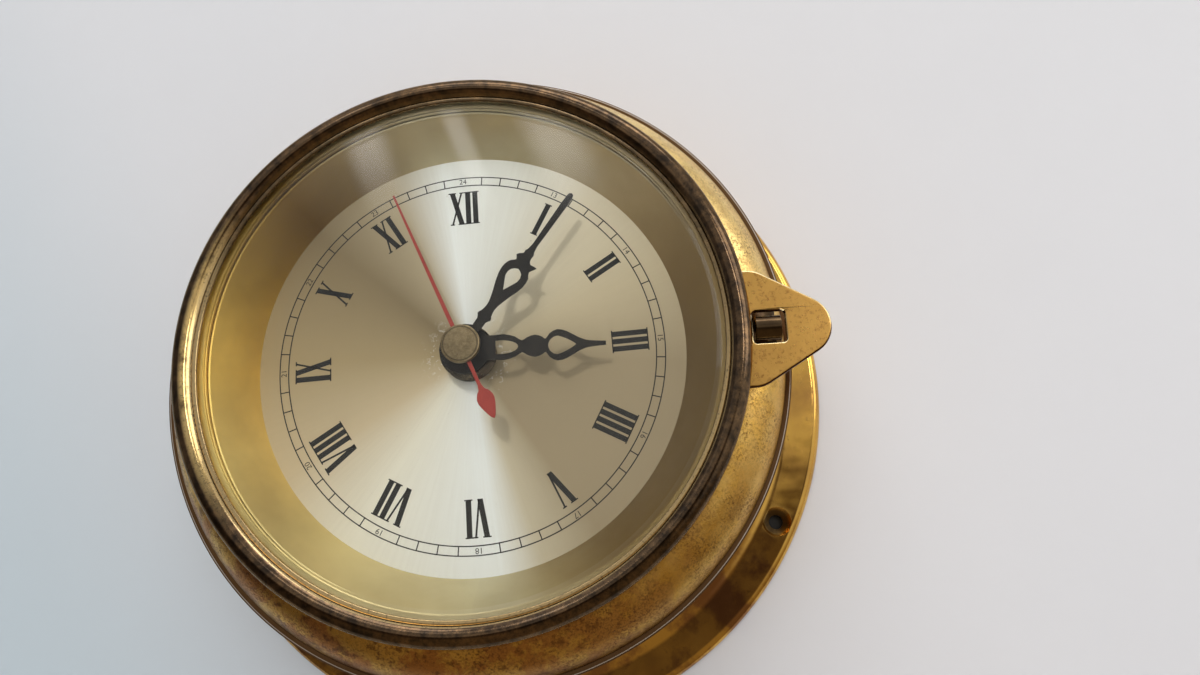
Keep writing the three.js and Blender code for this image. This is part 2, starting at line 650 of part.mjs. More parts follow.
function secondHandCap() {
  const { radius, bottomZ, topZ, bevel } = CAP;
  return mesh('second_hand_cap', revolve([
    [0, bottomZ],
    [radius, bottomZ],
    [radius, topZ - bevel],
    [radius - bevel, topZ],
    [0, topZ],
  ], 32), capBrass);
}

// ---- Centre fixing ----
function centreNut() {
  const { outer, inner, topZ, ribs, ribDepth } = NUT;
  const pitch = topZ / ribs;
  const profile = [[inner, 0]];
  for (let rib = 0; rib < ribs; rib += 1) {
    profile.push([outer - ribDepth, rib * pitch], [outer, (rib + 0.5) * pitch]);
  }
  profile.push([outer - ribDepth, topZ], [inner, topZ]);
  return mesh('centre_nut', revolveRing(profile, 24), darkBronze);
}

function centreBush() {
  const seatZ = HOUSING.frontZ - HOUSING.wall;
  return mesh('centre_bush', revolveRing([
    [BUSH.inner, seatZ],
    [BUSH.outer, seatZ],
    [BUSH.outer, BUSH.topZ],
    [BUSH.inner, BUSH.topZ],
  ], 24), agedBrass);
}

function rubberWasher() {
  return mesh('rubber_washer', pipe(WASHER.inner, WASHER.outer, HOUSING.frontZ,
    -DIAL.thickness, 24), rubberBlack);
}

// ---- Gears ----
function gearShape(teeth, module) {
  const pitch = 2 * Math.PI / teeth;
  const tip = module * (teeth / 2 + ADDENDUM);
  const root = module * (teeth / 2 - DEDENDUM);
  const half = pitch * ROOT_SHARE / 2;
  const points = [];
  for (let tooth = 0; tooth < teeth; tooth += 1) {
    const angle = tooth * pitch;
    points.push([root * Math.cos(angle - half), root * Math.sin(angle - half)]);
    points.push([tip * Math.cos(angle), tip * Math.sin(angle)]);
    points.push([root * Math.cos(angle + half), root * Math.sin(angle + half)]);
  }
  return polygon(points);
}

const gear = (teeth, module, layer) => slab(gearShape(teeth, module), layer[0], layer[1]);

// The turn that puts a wheel in mesh with another: `towards` is the direction of the line of
// centres from the first wheel, and a tooth of the first stands at `firstTurn`
function meshTurn(firstTurn, firstTeeth, secondTeeth, towards) {
  const pitches = (towards - firstTurn) * firstTeeth / (2 * Math.PI);
  return towards + Math.PI - (0.5 - pitches) * 2 * Math.PI / secondTeeth;
}

function placed(node, x, y, turn) {
  node.position.set(x, y, 0);
  node.rotation.z = turn;
  return node;
}

function secondsWheel() {
  const arbor = rod(SECOND_ARBOR.radius, LAYER.pivotEnd[0], SECOND_ARBOR.topZ, TINY_STEPS);
  const wheel = gear(TEETH.secondsWheel, MODULE.intermediate, LAYER.secondsWheel);
  const pinion = gear(TEETH.secondsPinion, MODULE.seconds, LAYER.secondsPinion);
  return mesh('seconds_wheel', carve([arbor, wheel, pinion]), steel);
}

function thirdWheel() {
  const arbor = rod(PIVOT_R, LAYER.pivotEnd[0], LAYER.thirdPinion[1] + 1.3, TINY_STEPS);
  const wheel = gear(TEETH.thirdWheel, MODULE.seconds, LAYER.thirdWheel);
  const pinion = gear(TEETH.thirdPinion, MODULE.centre, LAYER.thirdPinion);
  return placed(mesh('third_wheel', carve([arbor, wheel, pinion]), gearPlastic), THIRD_X, 0,
    thirdTurn);
}

function centreWheel() {
  const wheel = gear(TEETH.centreWheel, MODULE.centre, LAYER.centreWheel);
  const bore = rod(MINUTE_PIPE.outer + RUNNING_GAP, LAYER.centreWheel[0] - 1,
    LAYER.centreWheel[1] + 1);
  return placed(mesh('centre_wheel', carve([wheel], [bore]), gearPlastic), 0, 0,
    centreTurn);
}

function cannonPinion() {
  const { outer, inner, topZ } = MINUTE_PIPE;
  const lowZ = LAYER.centreWheel[0] - 0.3;
  const tube = rod(outer, lowZ, topZ);
  const pinion = gear(TEETH.cannonPinion, MODULE.cannon, LAYER.cannonPinion);
  const bore = rod(inner, lowZ - 1, topZ + 1, TINY_STEPS);
  return mesh('cannon_pinion', carve([tube, pinion], [bore]), gearPlastic);
}

function motionWheel() {
  const lowZ = LAYER.motionWheel[0] - 0.1;
  const highZ = LAYER.motionPinion[1];
  const boss = rod(1, lowZ, highZ, TINY_STEPS);
  const wheel = gear(TEETH.motionWheel, MODULE.cannon, LAYER.motionWheel);
  const pinion = gear(TEETH.motionPinion, MODULE.hour, LAYER.motionPinion);
  const bore = rod(STUD_R + RUNNING_GAP, lowZ - 1, highZ + 1, TINY_STEPS);
  return placed(mesh('motion_wheel', carve([boss, wheel, pinion], [bore]), gearPlastic), 0,
    MOTION_Y, motionTurn);
}

function hourWheel() {
  const { outer, inner, topZ } = HOUR_PIPE;
  const wheel = gear(TEETH.hourWheel, MODULE.hour, LAYER.hourWheel);
  const tube = rod(outer, LAYER.hourWheel[0], topZ);
  const bore = rod(inner, LAYER.hourWheel[0] - 1, topZ + 1);
  return placed(mesh('hour_wheel', carve([wheel, tube], [bore]), gearPlastic), 0, 0, hourTurn);
}

function intermediateWheel() {
  const arbor = rod(PIVOT_R, LAYER.pivotEnd[0], LAYER.plate[1] + 0.6, TINY_STEPS);
  const wheel = gear(TEETH.intermediateWheel, MODULE.rotor, LAYER.intermediateWheel);
  const pinion = gear(TEETH.intermediatePinion, MODULE.intermediate, LAYER.intermediatePinion);
  return placed(mesh('intermediate_wheel', carve([arbor, wheel, pinion]), gearPlastic),
    INTERMEDIATE_X, 0, intermediateTurn);
}

function rotor() {
  const arbor = rod(PIVOT_R, LAYER.pivotEnd[0], LAYER.plate[1] + 0.6, TINY_STEPS);
  const magnet = rod(ROTOR_MAGNET_R, ...LAYER.magnet, SMALL_STEPS);
  const pinion = gear(TEETH.rotor, MODULE.rotor, LAYER.rotorPinion);
  return placed(mesh('rotor', carve([arbor, magnet, pinion]), steel), ROTOR_X, 0, rotorTurn);
}

function settingKnob() {
  const wheel = gear(TEETH.settingWheel, MODULE.cannon, LAYER.motionWheel);
  const stem = rod(STEM_R, HOUSING.backZ - 1, LAYER.hourWheel[1], SMALL_STEPS);
  const { flutes, module, lowZ, highZ } = KNOB_GRIP;
  const grip = slab(gearShape(flutes, module), lowZ, highZ);
  return placed(mesh('setting_knob', carve([stem, wheel, grip]), movementPlastic), 0, SETTING_Y,
    settingTurn);
}

// tooth turns, each worked out from the wheel it meshes with
const centreTurn = 0;
const thirdTurn = meshTurn(centreTurn, TEETH.centreWheel, TEETH.thirdPinion, Math.PI);
const motionTurn = meshTurn(0, TEETH.cannonPinion, TEETH.motionWheel, Math.PI / 2);
const hourTurn = meshTurn(motionTurn, TEETH.motionPinion, TEETH.hourWheel, -Math.PI / 2);
const settingTurn = meshTurn(motionTurn, TEETH.motionWheel, TEETH.settingWheel, Math.PI / 2);
const secondsTurn = meshTurn(thirdTurn, TEETH.thirdWheel, TEETH.secondsPinion, 0);
const intermediateTurn = meshTurn(secondsTurn, TEETH.secondsWheel, TEETH.intermediatePinion, 0);
const rotorTurn = meshTurn(intermediateTurn, TEETH.intermediateWheel, TEETH.rotor, 0);

// ---- Movement ----
function housingBox(lowZ, highZ, shrink) {
  const half = HOUSING.side / 2 - shrink;
  return slab(roundedRect(-half, half, -half, half, HOUSING.corner - shrink), lowZ, highZ, 3);
}

function pivotBoss(x, y) {
  return rod(4 * PIVOT_R, HOUSING.backZ, LAYER.pivotEnd[1] + 0.2, TINY_STEPS).translate(x, y, 0);
}

function pivotHole(x, y, radius) {
  const hole = rod(radius + RUNNING_GAP, LAYER.pivotEnd[0] - 0.3, LAYER.pivotEnd[1] + 1,
    TINY_STEPS);
  return hole.translate(x, y, 0);
}

function frontHousing() {
  const { frontZ, splitZ, wall } = HOUSING;
  const postZ = LAYER.motionWheel[0] - 0.4;
  const post = rod(STUD_R, postZ, frontZ - wall / 2, TINY_STEPS).translate(0, MOTION_Y, 0);
  const hollow = housingBox(splitZ - 1, frontZ - wall, wall);
  const box = carve([housingBox(splitZ, frontZ, 0)], [hollow]);
  const seat = rod(BUSH.outer + 0.02, frontZ - 2 * wall, frontZ + 1, 32);
  return mesh('movement_front_housing', carve([box, post], [seat]), movementPlastic);
}

// The rear half, with an open battery bay along its lower edge and a hole for the setting stem
function rearHousing() {
  const { side, splitZ, backZ, wall } = HOUSING;
  const floorZ = backZ + wall;
  const hollow = housingBox(floorZ, splitZ + 1, wall);
  const bayTop = BATTERY.y + BATTERY.radius + 0.8;
  const half = side / 2 - wall;
  const bay = block(-half, half, wall - side / 2, bayTop, backZ - 1, floorZ + 1);
  const bayWall = block(-half - 0.2, half + 0.2, bayTop, bayTop + wall, backZ, splitZ);
  const stemHole = rod(STEM_R + RUNNING_GAP, backZ - 1, floorZ + 1).translate(0, SETTING_Y, 0);
  const pivots = [[0, SECOND_ARBOR.radius], [THIRD_X, PIVOT_R], [INTERMEDIATE_X, PIVOT_R],
    [ROTOR_X, PIVOT_R]];
  const box = carve([housingBox(backZ, splitZ, 0)], [hollow, bay]);
  const bosses = pivots.map(([x]) => pivotBoss(x, 0));
  const holes = pivots.map(([x, radius]) => pivotHole(x, 0, radius));
  return mesh('movement_rear_housing', carve([box, bayWall, ...bosses], [stemHole, ...holes]),
    movementPlastic);
}

function trainPlate() {
  const [lowZ, highZ] = LAYER.plate;
  const shape = roundedRect(THIRD_X - 4, ROTOR_X + 2.6, -6, 6, 2);
  const plate = slab(shape, lowZ, highZ, 3);
  const pivots = [[0, MINUTE_PIPE.inner], [THIRD_X, PIVOT_R], [INTERMEDIATE_X, PIVOT_R],
    [ROTOR_X, PIVOT_R]];
  const holes = pivots.map(([x, radius]) => rod(radius + RUNNING_GAP, lowZ - 1, highZ + 1,
    TINY_STEPS).translate(x, 0, 0));
  return mesh('train_plate', carve([plate], holes), gearPlastic);
}

const STATOR_FRAME = { x0: ROTOR_X - 3.6, x1: ROTOR_X + 12.2, y0: -4.2, y1: 12.4, bar: 2.6,
  arm: 1.4, corner: 0.8 };

// A soft iron frame with the rotor's hole in one bar and the coil on the other
function stator() {
  const { x0, x1, y0, y1, bar, arm, corner } = STATOR_FRAME;
  const [lowZ, highZ] = LAYER.stator;
  const frame = slab(roundedRect(x0, x1, y0, y1, corner), lowZ, highZ, 2);
  const window = block(x0 + arm, x1 - arm, -y0, y1 - bar, lowZ - 1, highZ + 1);
  const hole = rod(ROTOR_MAGNET_R + 0.4, lowZ - 1, highZ + 1).translate(ROTOR_X, 0, 0);
  return mesh('stator', carve([frame], [window, hole]), springSteel);
}

function coil() {
  const { x0, x1, y1, bar } = STATOR_FRAME;
  const [lowZ, highZ] = LAYER.stator;
  const middleY = y1 - bar / 2;
  const middleZ = (lowZ + highZ) / 2;
  const half = 2.3;
  const gap = 0.1;
  const tube = block(x0 + 1.8, x1 - 1.8, middleY - half, middleY + half, middleZ - half,
    middleZ + half);
  const core = block(x0, x1, middleY - bar / 2 - gap, middleY + bar / 2 + gap, lowZ - gap,
    highZ + gap);
  return mesh('coil', carve([tube], [core]), copperWire);
}

function circuitBoard() {
  const { x0, x1, y0, y1, lowZ, highZ } = BOARD;
  return mesh('circuit_board', block(x0, x1, y0, y1, lowZ, highZ), boardGreen);
}

// A can lying along Y on the circuit board
function quartzCrystal() {
  const { radius, length, x, y } = CRYSTAL;
  const z = BOARD.highZ + radius + 0.1;
  const can = rod(radius, -length, 0, TINY_STEPS).rotateX(-Math.PI / 2).translate(x, y, z);
  return mesh('quartz_crystal', can, steel);
}

function battery() {
  const { radius, length, y, z, nubRadius, nubLength } = BATTERY;
  const half = length / 2;
  const cell = revolve([
    [0, -half],
    [radius - 0.4, -half],
    [radius, 0.5 - half],
    [radius, half - nubLength - 0.4],
    [radius - 0.4, half - nubLength],
    [nubRadius, half - nubLength],
    [nubRadius, half],
    [0, half],
  ], 28);
  return mesh('battery', cell.rotateY(Math.PI / 2).translate(0, y, z), batterySkin);
}

// A contact strip at one end of the battery bay
function batteryContact(name, side) {
  const edge = HOUSING.side / 2 - HOUSING.wall - 0.1;
  const { thickness, halfWidth, halfHeight } = CONTACT;
  const x = [side * edge, side * (edge - thickness)].sort((a, b) => a - b);
  const { y, z } = BATTERY;
  const strip = block(x[0], x[1], y - halfWidth, y + halfWidth, z - halfHeight, z + halfHeight);
  return mesh(name, strip, springSteel);
}

// ---- Assembly ----
function housingParts() {
  return [backShell(), frontShell(), backCover(), dialPlate(), innerRing(), catchSpring(),
    catchRivet('catch_rivet_upper', CATCH_RIVET.angle),
    catchRivet('catch_rivet_lower', -CATCH_RIVET.angle), caseLeaf(), hingePin()];
}

function doorParts() {
  return [bezelRing(), glass(), glassGasket(), glassRetainingRing(), latchTab(), doorLeaf()];
}

function movementParts() {
  const seconds = secondsWheel();
  seconds.rotation.z = secondsTurn;
  return [centreNut(), centreBush(), rubberWasher(), frontHousing(), rearHousing(), trainPlate(),
    stator(), coil(), circuitBoard(), quartzCrystal(), battery(),
    batteryContact('battery_contact_positive', 1), batteryContact('battery_contact_negative', -1),
    seconds, thirdWheel(), centreWheel(), intermediateWheel(), rotor(), cannonPinion(),
    motionWheel(), hourWheel(), settingKnob()];
}

function handParts() {
  return [hourHand(), minuteHand(), secondHand(), secondHandCap()];
}

const clock = new THREE.Group();
clock.add(...housingParts(), ...doorParts(), ...movementParts(), ...handParts());
clock.rotation.x = Math.PI / 2;
clock.position.y = WALL_Z;

export default clock;
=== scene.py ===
"""The looks of a brass ship's deck clock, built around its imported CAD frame.

The row frame is metres: the wall is the plane y = 0, the clock faces -Y, +Z is XII and +X is III.
Profiles are written as (radius, height) in millimetres, with height measured from the dial's face
towards the viewer, and angles run clockwise from XII.
"""
import math

import bmesh
import bpy
from mathutils import Matrix, Vector


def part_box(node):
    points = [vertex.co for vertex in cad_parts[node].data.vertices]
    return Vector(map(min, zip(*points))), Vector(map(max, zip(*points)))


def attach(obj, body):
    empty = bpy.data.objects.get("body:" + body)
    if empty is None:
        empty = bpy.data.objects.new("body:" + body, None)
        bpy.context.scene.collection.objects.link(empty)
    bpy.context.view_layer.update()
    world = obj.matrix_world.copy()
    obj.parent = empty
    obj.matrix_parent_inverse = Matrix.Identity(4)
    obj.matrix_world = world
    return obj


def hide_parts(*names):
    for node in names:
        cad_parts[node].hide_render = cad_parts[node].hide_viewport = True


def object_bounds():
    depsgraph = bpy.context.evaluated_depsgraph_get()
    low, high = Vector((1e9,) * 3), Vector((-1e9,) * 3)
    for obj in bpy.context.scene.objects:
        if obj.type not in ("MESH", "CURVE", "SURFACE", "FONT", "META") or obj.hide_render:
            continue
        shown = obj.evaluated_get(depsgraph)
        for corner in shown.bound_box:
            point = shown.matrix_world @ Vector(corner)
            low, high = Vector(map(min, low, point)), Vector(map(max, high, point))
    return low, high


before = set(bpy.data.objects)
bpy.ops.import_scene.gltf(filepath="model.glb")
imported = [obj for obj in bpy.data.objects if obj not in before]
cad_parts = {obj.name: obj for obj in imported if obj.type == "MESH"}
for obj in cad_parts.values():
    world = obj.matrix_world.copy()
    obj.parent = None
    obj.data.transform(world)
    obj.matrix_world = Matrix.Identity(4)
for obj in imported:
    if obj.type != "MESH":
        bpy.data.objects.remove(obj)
cad_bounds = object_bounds()

MM = 0.001
FINE = 256                 # steps round a large ring
MEDIUM = 96                # steps round a small one
DIAL_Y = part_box("dial_plate")[0].y


# ---- Sizes read from the frame ----
def radius_of(node):
    """Half of a round node's width, in mm."""
    low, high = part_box(node)
    return (high.z - low.z) / 2 / MM


def height_of(node):
    """Lowest and highest heights of a node above the dial's face, in mm."""
    low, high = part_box(node)
    return (DIAL_Y - high.y) / MM, (DIAL_Y - low.y) / MM


WALL = height_of("back_shell")[0]
FLANGE_R = radius_of("back_shell")
DRUM_TOP = height_of("back_shell")[1]
SHOULDER_R = radius_of("front_shell")
SHOULDER_LOW, SHOULDER_TOP = height_of("front_shell")
DIAL_R = radius_of("dial_plate")
BEAD_OUT_R = radius_of("bezel_ring")
SKIRT_LOW, BEAD_TOP = height_of("bezel_ring")
GLASS_R = radius_of("glass")
GLASS_LOW, GLASS_TOP = height_of("glass")
CONE_TOP = height_of("inner_ring")[1]

# Sheet and edge sizes that the boxes don't show, in mm
BACK_SHEET = 0.7
FRONT_SHEET = 0.8
FLANGE_TOP = WALL + 2.8
RIM_R = 2.0
FILLET_R = 4.5
DRUM_R = SHOULDER_R + 1.0
SCREWS = 3
SCREW_CIRCLE = 70.0
SCREW_R = 1.6
DIMPLE_R = 3.3
DIMPLE_DEPTH = 1.7
COLLAR_R = 50.2
SHOULDER_CENTRE = (50.0, -5.0)
LIP_IN_R = 46.5
BEAD_R = 2.1
BEAD_CENTRE = (BEAD_OUT_R - BEAD_R, BEAD_TOP - BEAD_R)
SKIRT_R = 52.5
POCKET_R = 50.1
DOOR_LIP = (48.95, 50.2)
GLASS_FLAT_R = 47.3
GLASS_SHOULDER_R = 49.0
GASKET_IN_R = 48.0
RETAINER_IN_R = 48.3
NUT_IN_R = 4.15
CONE_IN_R = 42.3
CONE_CREST_R = 47.85
CONE_OUT_R = 48.15
CONE_STEP = 5.9
CONE_SHEET = 0.6
TRACK_R = (36.5, 38.25)
PRINT_LIFT = 0.012         # how far ink stands off the dial


# ---- Mesh helpers ----
def clock_point(x, up, height):
    """A point of the clock, in the row frame: x towards III, up towards XII, height off the dial."""
    return Vector((x * MM, DIAL_Y - height * MM, up * MM))


def arc(centre, span_r, span_h, start, end, steps):
    """Points of an elliptic arc in the (radius, height) plane; 0 degrees is outward, 90 forward."""
    points = []
    for i in range(steps + 1):
        angle = math.radians(start + (end - start) * i / steps)
        points.append((centre[0] + span_r * math.cos(angle), centre[1] + span_h * math.sin(angle)))
    return points


def build(name, verts, faces, sharp=30.0):
    """A mesh object, smooth apart from edges over `sharp` degrees."""
    mesh = bpy.data.meshes.new(name)
    mesh.from_pydata([tuple(v) for v in verts], [], faces)
    bm = bmesh.new()
    bm.from_mesh(mesh)
    bmesh.ops.remove_doubles(bm, verts=bm.verts, dist=1e-7)
    bmesh.ops.recalc_face_normals(bm, faces=bm.faces)
    bm.to_mesh(mesh)
    bm.free()
    mesh.shade_smooth()
    mesh.set_sharp_from_angle(angle=math.radians(sharp))
    piece = bpy.data.objects.new(name, mesh)
    bpy.context.scene.collection.objects.link(piece)
    return piece


def turn(name, profile, steps=FINE, closed=True, sharp=30.0):
    """A solid of revolution about the dial's axis. A closed profile is a ring's section; an open
    one starts and ends on the axis."""
    count = len(profile)
    verts = []
    for i in range(steps):
        angle = 2 * math.pi * i / steps
        for radius, height in profile:
            verts.append(clock_point(radius * math.sin(angle), radius * math.cos(angle), height))
    faces = []
    spans = count if closed else count - 1
    for i in range(steps):
        here, there = i * count, (i + 1) % steps * count
        for k in range(spans):
            n = (k + 1) % count
            faces.append((here + k, here + n, there + n, there + k))
    piece = build(name, verts, faces, sharp)
    if not closed:
        drop_slivers(piece)
    return piece


def drop_slivers(piece):
    """Removes the empty faces that a profile's ends leave on the axis."""
    bm = bmesh.new()
    bm.from_mesh(piece.data)
    bmesh.ops.dissolve_degenerate(bm, dist=1e-7, edges=bm.edges)
    bm.to_mesh(piece.data)
    bm.free()


def boolean(piece, cutter, operation):
    """Applies one boolean and deletes the cutter."""
    change = piece.modifiers.new(operation, "BOOLEAN")
    change.operation = operation
    change.object = cutter
    change.solver = "EXACT"
    bpy.context.view_layer.update()
    evaluated = piece.evaluated_get(bpy.context.evaluated_depsgraph_get())
    mesh = bpy.data.meshes.new_from_object(evaluated)
    piece.modifiers.clear()
    piece.data = mesh
    bpy.data.objects.remove(cutter)


def finish(piece, body, material, slot, *nodes):
    """Dresses a piece, hangs it on its body and lets it stand for CAD nodes."""
    piece.data.materials.clear()
    piece.data.materials.append(material)
    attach(piece, body)
    if nodes:
        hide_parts(*nodes)
    return piece


# ---- Material helper ----
class Paint:
    """One procedural material (or world); each call adds a node and returns its output."""

    def __init__(self, name, owner=None):
        self.material = owner or bpy.data.materials.new(name)
        self.material.use_nodes = True
        self.tree = self.material.node_tree
        self.tree.nodes.clear()
        self.place = self.add("ShaderNodeTexCoord", out="Object")

    def add(self, kind, inputs=None, out=0, **settings):
        node = self.tree.nodes.new(kind)
        for key, value in settings.items():
            setattr(node, key, value)
        for key, value in (inputs or {}).items():
            if isinstance(value, bpy.types.NodeSocket):
                self.tree.links.new(value, node.inputs[key])
            else:
                node.inputs[key].default_value = value
        return node.outputs[out] if node.outputs else None

    def math(self, operation, first, second=0.0, third=0.0):
        return self.add("ShaderNodeMath", {0: first, 1: second, 2: third}, operation=operation)

    def noise(self, size, detail=4.0, rough=0.55, distortion=0.0):
        """Fractal noise whose largest features are about `size` mm."""
        inputs = {"Vector": self.place, "Scale": 1 / (size * MM), "Detail": detail,
                  "Roughness": rough, "Distortion": distortion}
        return self.add("ShaderNodeTexNoise", inputs)

    def ramp(self, value, *stops):
        """Maps a value through (position, grey or colour) stops."""
        node = self.tree.nodes.new("ShaderNodeValToRGB")
        self.tree.links.new(value, node.inputs[0])
        elements = node.color_ramp.elements
        while len(elements) < len(stops):
            elements.new(1.0)
        for element, (position, colour) in zip(elements, stops):
            element.position = position
            grey = isinstance(colour, (int, float))
            element.color = (colour, colour, colour, 1) if grey else (*colour, 1)
        return node.outputs[0]

    def range(self, value, low, high, to_low=0.0, to_high=1.0):
        inputs = {0: value, 1: low, 2: high, 3: to_low, 4: to_high}
        return self.add("ShaderNodeMapRange", inputs, interpolation_type="SMOOTHSTEP")

    def mix(self, amount, first, second):
        first = (*first, 1) if isinstance(first, tuple) and len(first) == 3 else first
        second = (*second, 1) if isinstance(second, tuple) and len(second) == 3 else second
        return self.add("ShaderNodeMix", {0: amount, 6: first, 7: second}, out=2,
                        data_type="RGBA")

    def axes(self):
        """The place's x, y and z in metres."""
        node = self.tree.nodes.new("ShaderNodeSeparateXYZ")
        self.tree.links.new(self.place, node.inputs[0])
        return node.outputs

    def radius(self):
        """Distance from the dial's axis, in mm."""
        x, _, z = self.axes()
        squares = self.math("ADD", self.math("MULTIPLY", x, x), self.math("MULTIPLY", z, z))
        return self.math("DIVIDE", self.math("SQRT", squares), MM)

    def height(self):
        """Height above the dial's face, in mm."""
        return self.math("DIVIDE", self.math("SUBTRACT", DIAL_Y, self.axes()[1]), MM)

    def angle(self):
        """Angle about the dial's axis in radians, clockwise from XII."""
        x, _, z = self.axes()
        return self.math("ARCTAN2", x, z)

    def bump(self, height, depth):
        """Turns a height of 0 to 1 into a bump `depth` mm deep."""
        inputs = {"Height": height, "Strength": 1.0, "Distance": depth * MM}
        return self.add("ShaderNodeBump", inputs)

    def principled(self, **inputs):
        """Closes the tree with a principled shader; names use _ for a space."""
        named = {key.replace("_", " "): value for key, value in inputs.items()}
        for key, value in named.items():
            if isinstance(value, tuple) and len(value) == 3:
                named[key] = (*value, 1)
        shader = self.add("ShaderNodeBsdfPrincipled", named)
        return self.surface(shader)

    def surface(self, shader):
        self.add("ShaderNodeOutputMaterial", {"Surface": shader})
        return self.material


# ---- Metal finishes ----
GOLD = (0.76, 0.45, 0.10)
PALE_GOLD = (0.88, 0.60, 0.19)
BROWN = (0.20, 0.095, 0.03)
ORANGE = (0.42, 0.17, 0.05)
STAIN_AND_SHADE_BROWN = (0.24, 0.10, 0.055)
DIMPLE_SHADE = (0.12, 0.09, 0.055)
CUT_BROWN = (0.15, 0.08, 0.035)
BARE_METAL_GLINT = (0.66, 0.58, 0.50)
BORDER_SHADE = (0.17, 0.075, 0.025)
SPECK_BROWN = (0.16, 0.07, 0.025)
HIGHLIGHT_BRASS = (0.88, 0.62, 0.25)
LIP_HIGHLIGHT = (0.72, 0.52, 0.25)


def polished_brass():
    """Spun and polished sheet: nearly a mirror, a little wavy, brown stains kept to the lower part
    as painted shade, painted shade inside the screw dimples, and brown along the drum's cut edge,
    with a line of bare metal down its middle painted paler than brass as a highlight."""
    p = Paint("polished_brass")
    tone = p.mix(p.ramp(p.noise(14, 5), (0.42, 0), (0.7, 1)), GOLD, (0.50, 0.27, 0.075))
    spots = p.ramp(p.noise(1.1, 3), (0.66, 0), (0.74, 1))
    tone = p.mix(p.math("MULTIPLY", spots, 0.5), tone, BROWN)
    folded = p.math("PINGPONG", p.angle(), math.pi / SCREWS)
    across = p.math("MULTIPLY", p.radius(), p.math("SINE", folded))
    along = p.math("MULTIPLY_ADD", p.radius(), p.math("COSINE", folded), -SCREW_CIRCLE)
    away = p.math("SQRT", p.math("ADD", p.math("MULTIPLY", across, across),
                                 p.math("MULTIPLY", along, along)))
    _, _, z = p.axes()
    # Brown stains kept to the lower part of the flange: partly stains, partly painted shade.
    stains_and_low_shade = p.math("MULTIPLY", p.ramp(p.noise(11, 6, 0.6), (0.44, 0), (0.54, 1)),
                     p.range(z, -0.045, -0.030, 0.75, 0.0))
    tone = p.mix(stains_and_low_shade, tone, STAIN_AND_SHADE_BROWN)
    # Painted shade inside the screw dimples.
    dimple = p.range(away, DIMPLE_R - 0.9, DIMPLE_R + 0.1, 0.85, 0.0)
    tone = p.mix(dimple, tone, DIMPLE_SHADE)
    cut = p.range(p.height(), DRUM_TOP - 0.5, DRUM_TOP - 0.3)
    tone = p.mix(cut, tone, CUT_BROWN)
    # A pale line down the middle of the cut edge: bare metal, painted paler than brass as a
    # highlight.
    middle = p.math("ABSOLUTE", p.math("SUBTRACT", p.radius(), DRUM_R - BACK_SHEET / 2))
    bare = p.math("MULTIPLY", cut, p.range(middle, 0.04, 0.11, 1.0, 0.0))
    tone = p.mix(bare, tone, BARE_METAL_GLINT)
    rough = p.range(p.noise(5, 6), 0.3, 0.75, 0.07, 0.18)
    rough = p.math("MULTIPLY_ADD", p.math("MAXIMUM", cut, dimple), 0.3, rough)
    waves = p.bump(p.noise(9, 2), 0.12)
    return p.principled(Base_Color=tone, Metallic=1.0, Roughness=rough, Normal=waves)


def shoulder_brass():
    """Old lacquered brass: gold with dark specks, palest at the upper right as a painted highlight,
    with orange-brown stains, dark blotching and painted shade below, and brown borders of painted
    shade."""
    p = Paint("shoulder_brass")
    x, _, z = p.axes()
    # Painted shade towards the lower left; it darkens the tone and strengthens the stains and
    # blotches there.
    below = p.range(p.math("ADD", p.math("MULTIPLY", x, -0.8), p.math("MULTIPLY", z, -1.0)),
                    -0.02, 0.07)
    above = p.range(p.math("ADD", p.math("MULTIPLY", x, 0.8), z), 0.035, 0.07)
    stains = p.ramp(p.noise(6, 7, 0.7), (0.45, 0), (0.55, 1))
    # Stains, stronger to the lower left as painted shade.
    stains = p.math("MULTIPLY", stains, p.math("MULTIPLY_ADD", below, 0.65, 0.2))
    tone = p.mix(p.ramp(p.noise(3, 5), (0.35, 0), (0.75, 1)), GOLD, PALE_GOLD)
    # Paler gold at the upper right: a painted highlight.
    tone = p.mix(p.math("MULTIPLY", above, 0.8), tone, (1.0, 0.76, 0.33))
    # Darker gold to the lower left: painted shade.
    tone = p.mix(p.math("MULTIPLY", below, 0.35), tone, (0.46, 0.24, 0.05))
    tone = p.mix(stains, tone, ORANGE)
    # Dark blotches, stronger to the lower left as painted shade.
    blotches_and_shade = p.math("MULTIPLY", p.ramp(p.noise(2.4, 5, 0.7), (0.54, 0), (0.62, 1)),
                      p.math("MULTIPLY_ADD", below, 0.6, 0.1))
    tone = p.mix(blotches_and_shade, tone, (0.13, 0.055, 0.02))
    # Painted shade along both borders: beside the bead and where the shoulder turns down.
    outer = p.range(p.radius(), SHOULDER_R - 2.6, SHOULDER_R - 0.3)
    inner = p.range(p.radius(), SKIRT_R + 0.4, SKIRT_R + 2.4, 1.0, 0.0)
    border_shade = p.math("MULTIPLY", p.math("MAXIMUM", outer, inner),
                    p.ramp(p.noise(2.5, 6, 0.7), (0.30, 0.25), (0.62, 1)))
    tone = p.mix(p.math("MULTIPLY", border_shade, p.math("MULTIPLY_ADD", below, 0.65, 0.3)), tone,
                 BORDER_SHADE)
    grain = p.ramp(p.noise(0.45, 5, 0.75), (0.46, 0), (0.62, 1))
    specks = p.math("MULTIPLY", grain, p.ramp(p.noise(7, 4, 0.6), (0.36, 0.15), (0.60, 0.9)))
    tone = p.mix(specks, tone, SPECK_BROWN)
    rough = p.math("MULTIPLY_ADD", specks, 0.2, p.range(p.noise(4, 6), 0.3, 0.8, 0.22, 0.40))
    rough = p.math("MULTIPLY_ADD", outer, 0.25, rough)
    pits = p.bump(p.noise(0.9, 4, 0.7), 0.03)
    return p.principled(Base_Color=tone, Metallic=1.0, Roughness=rough, Normal=pits)


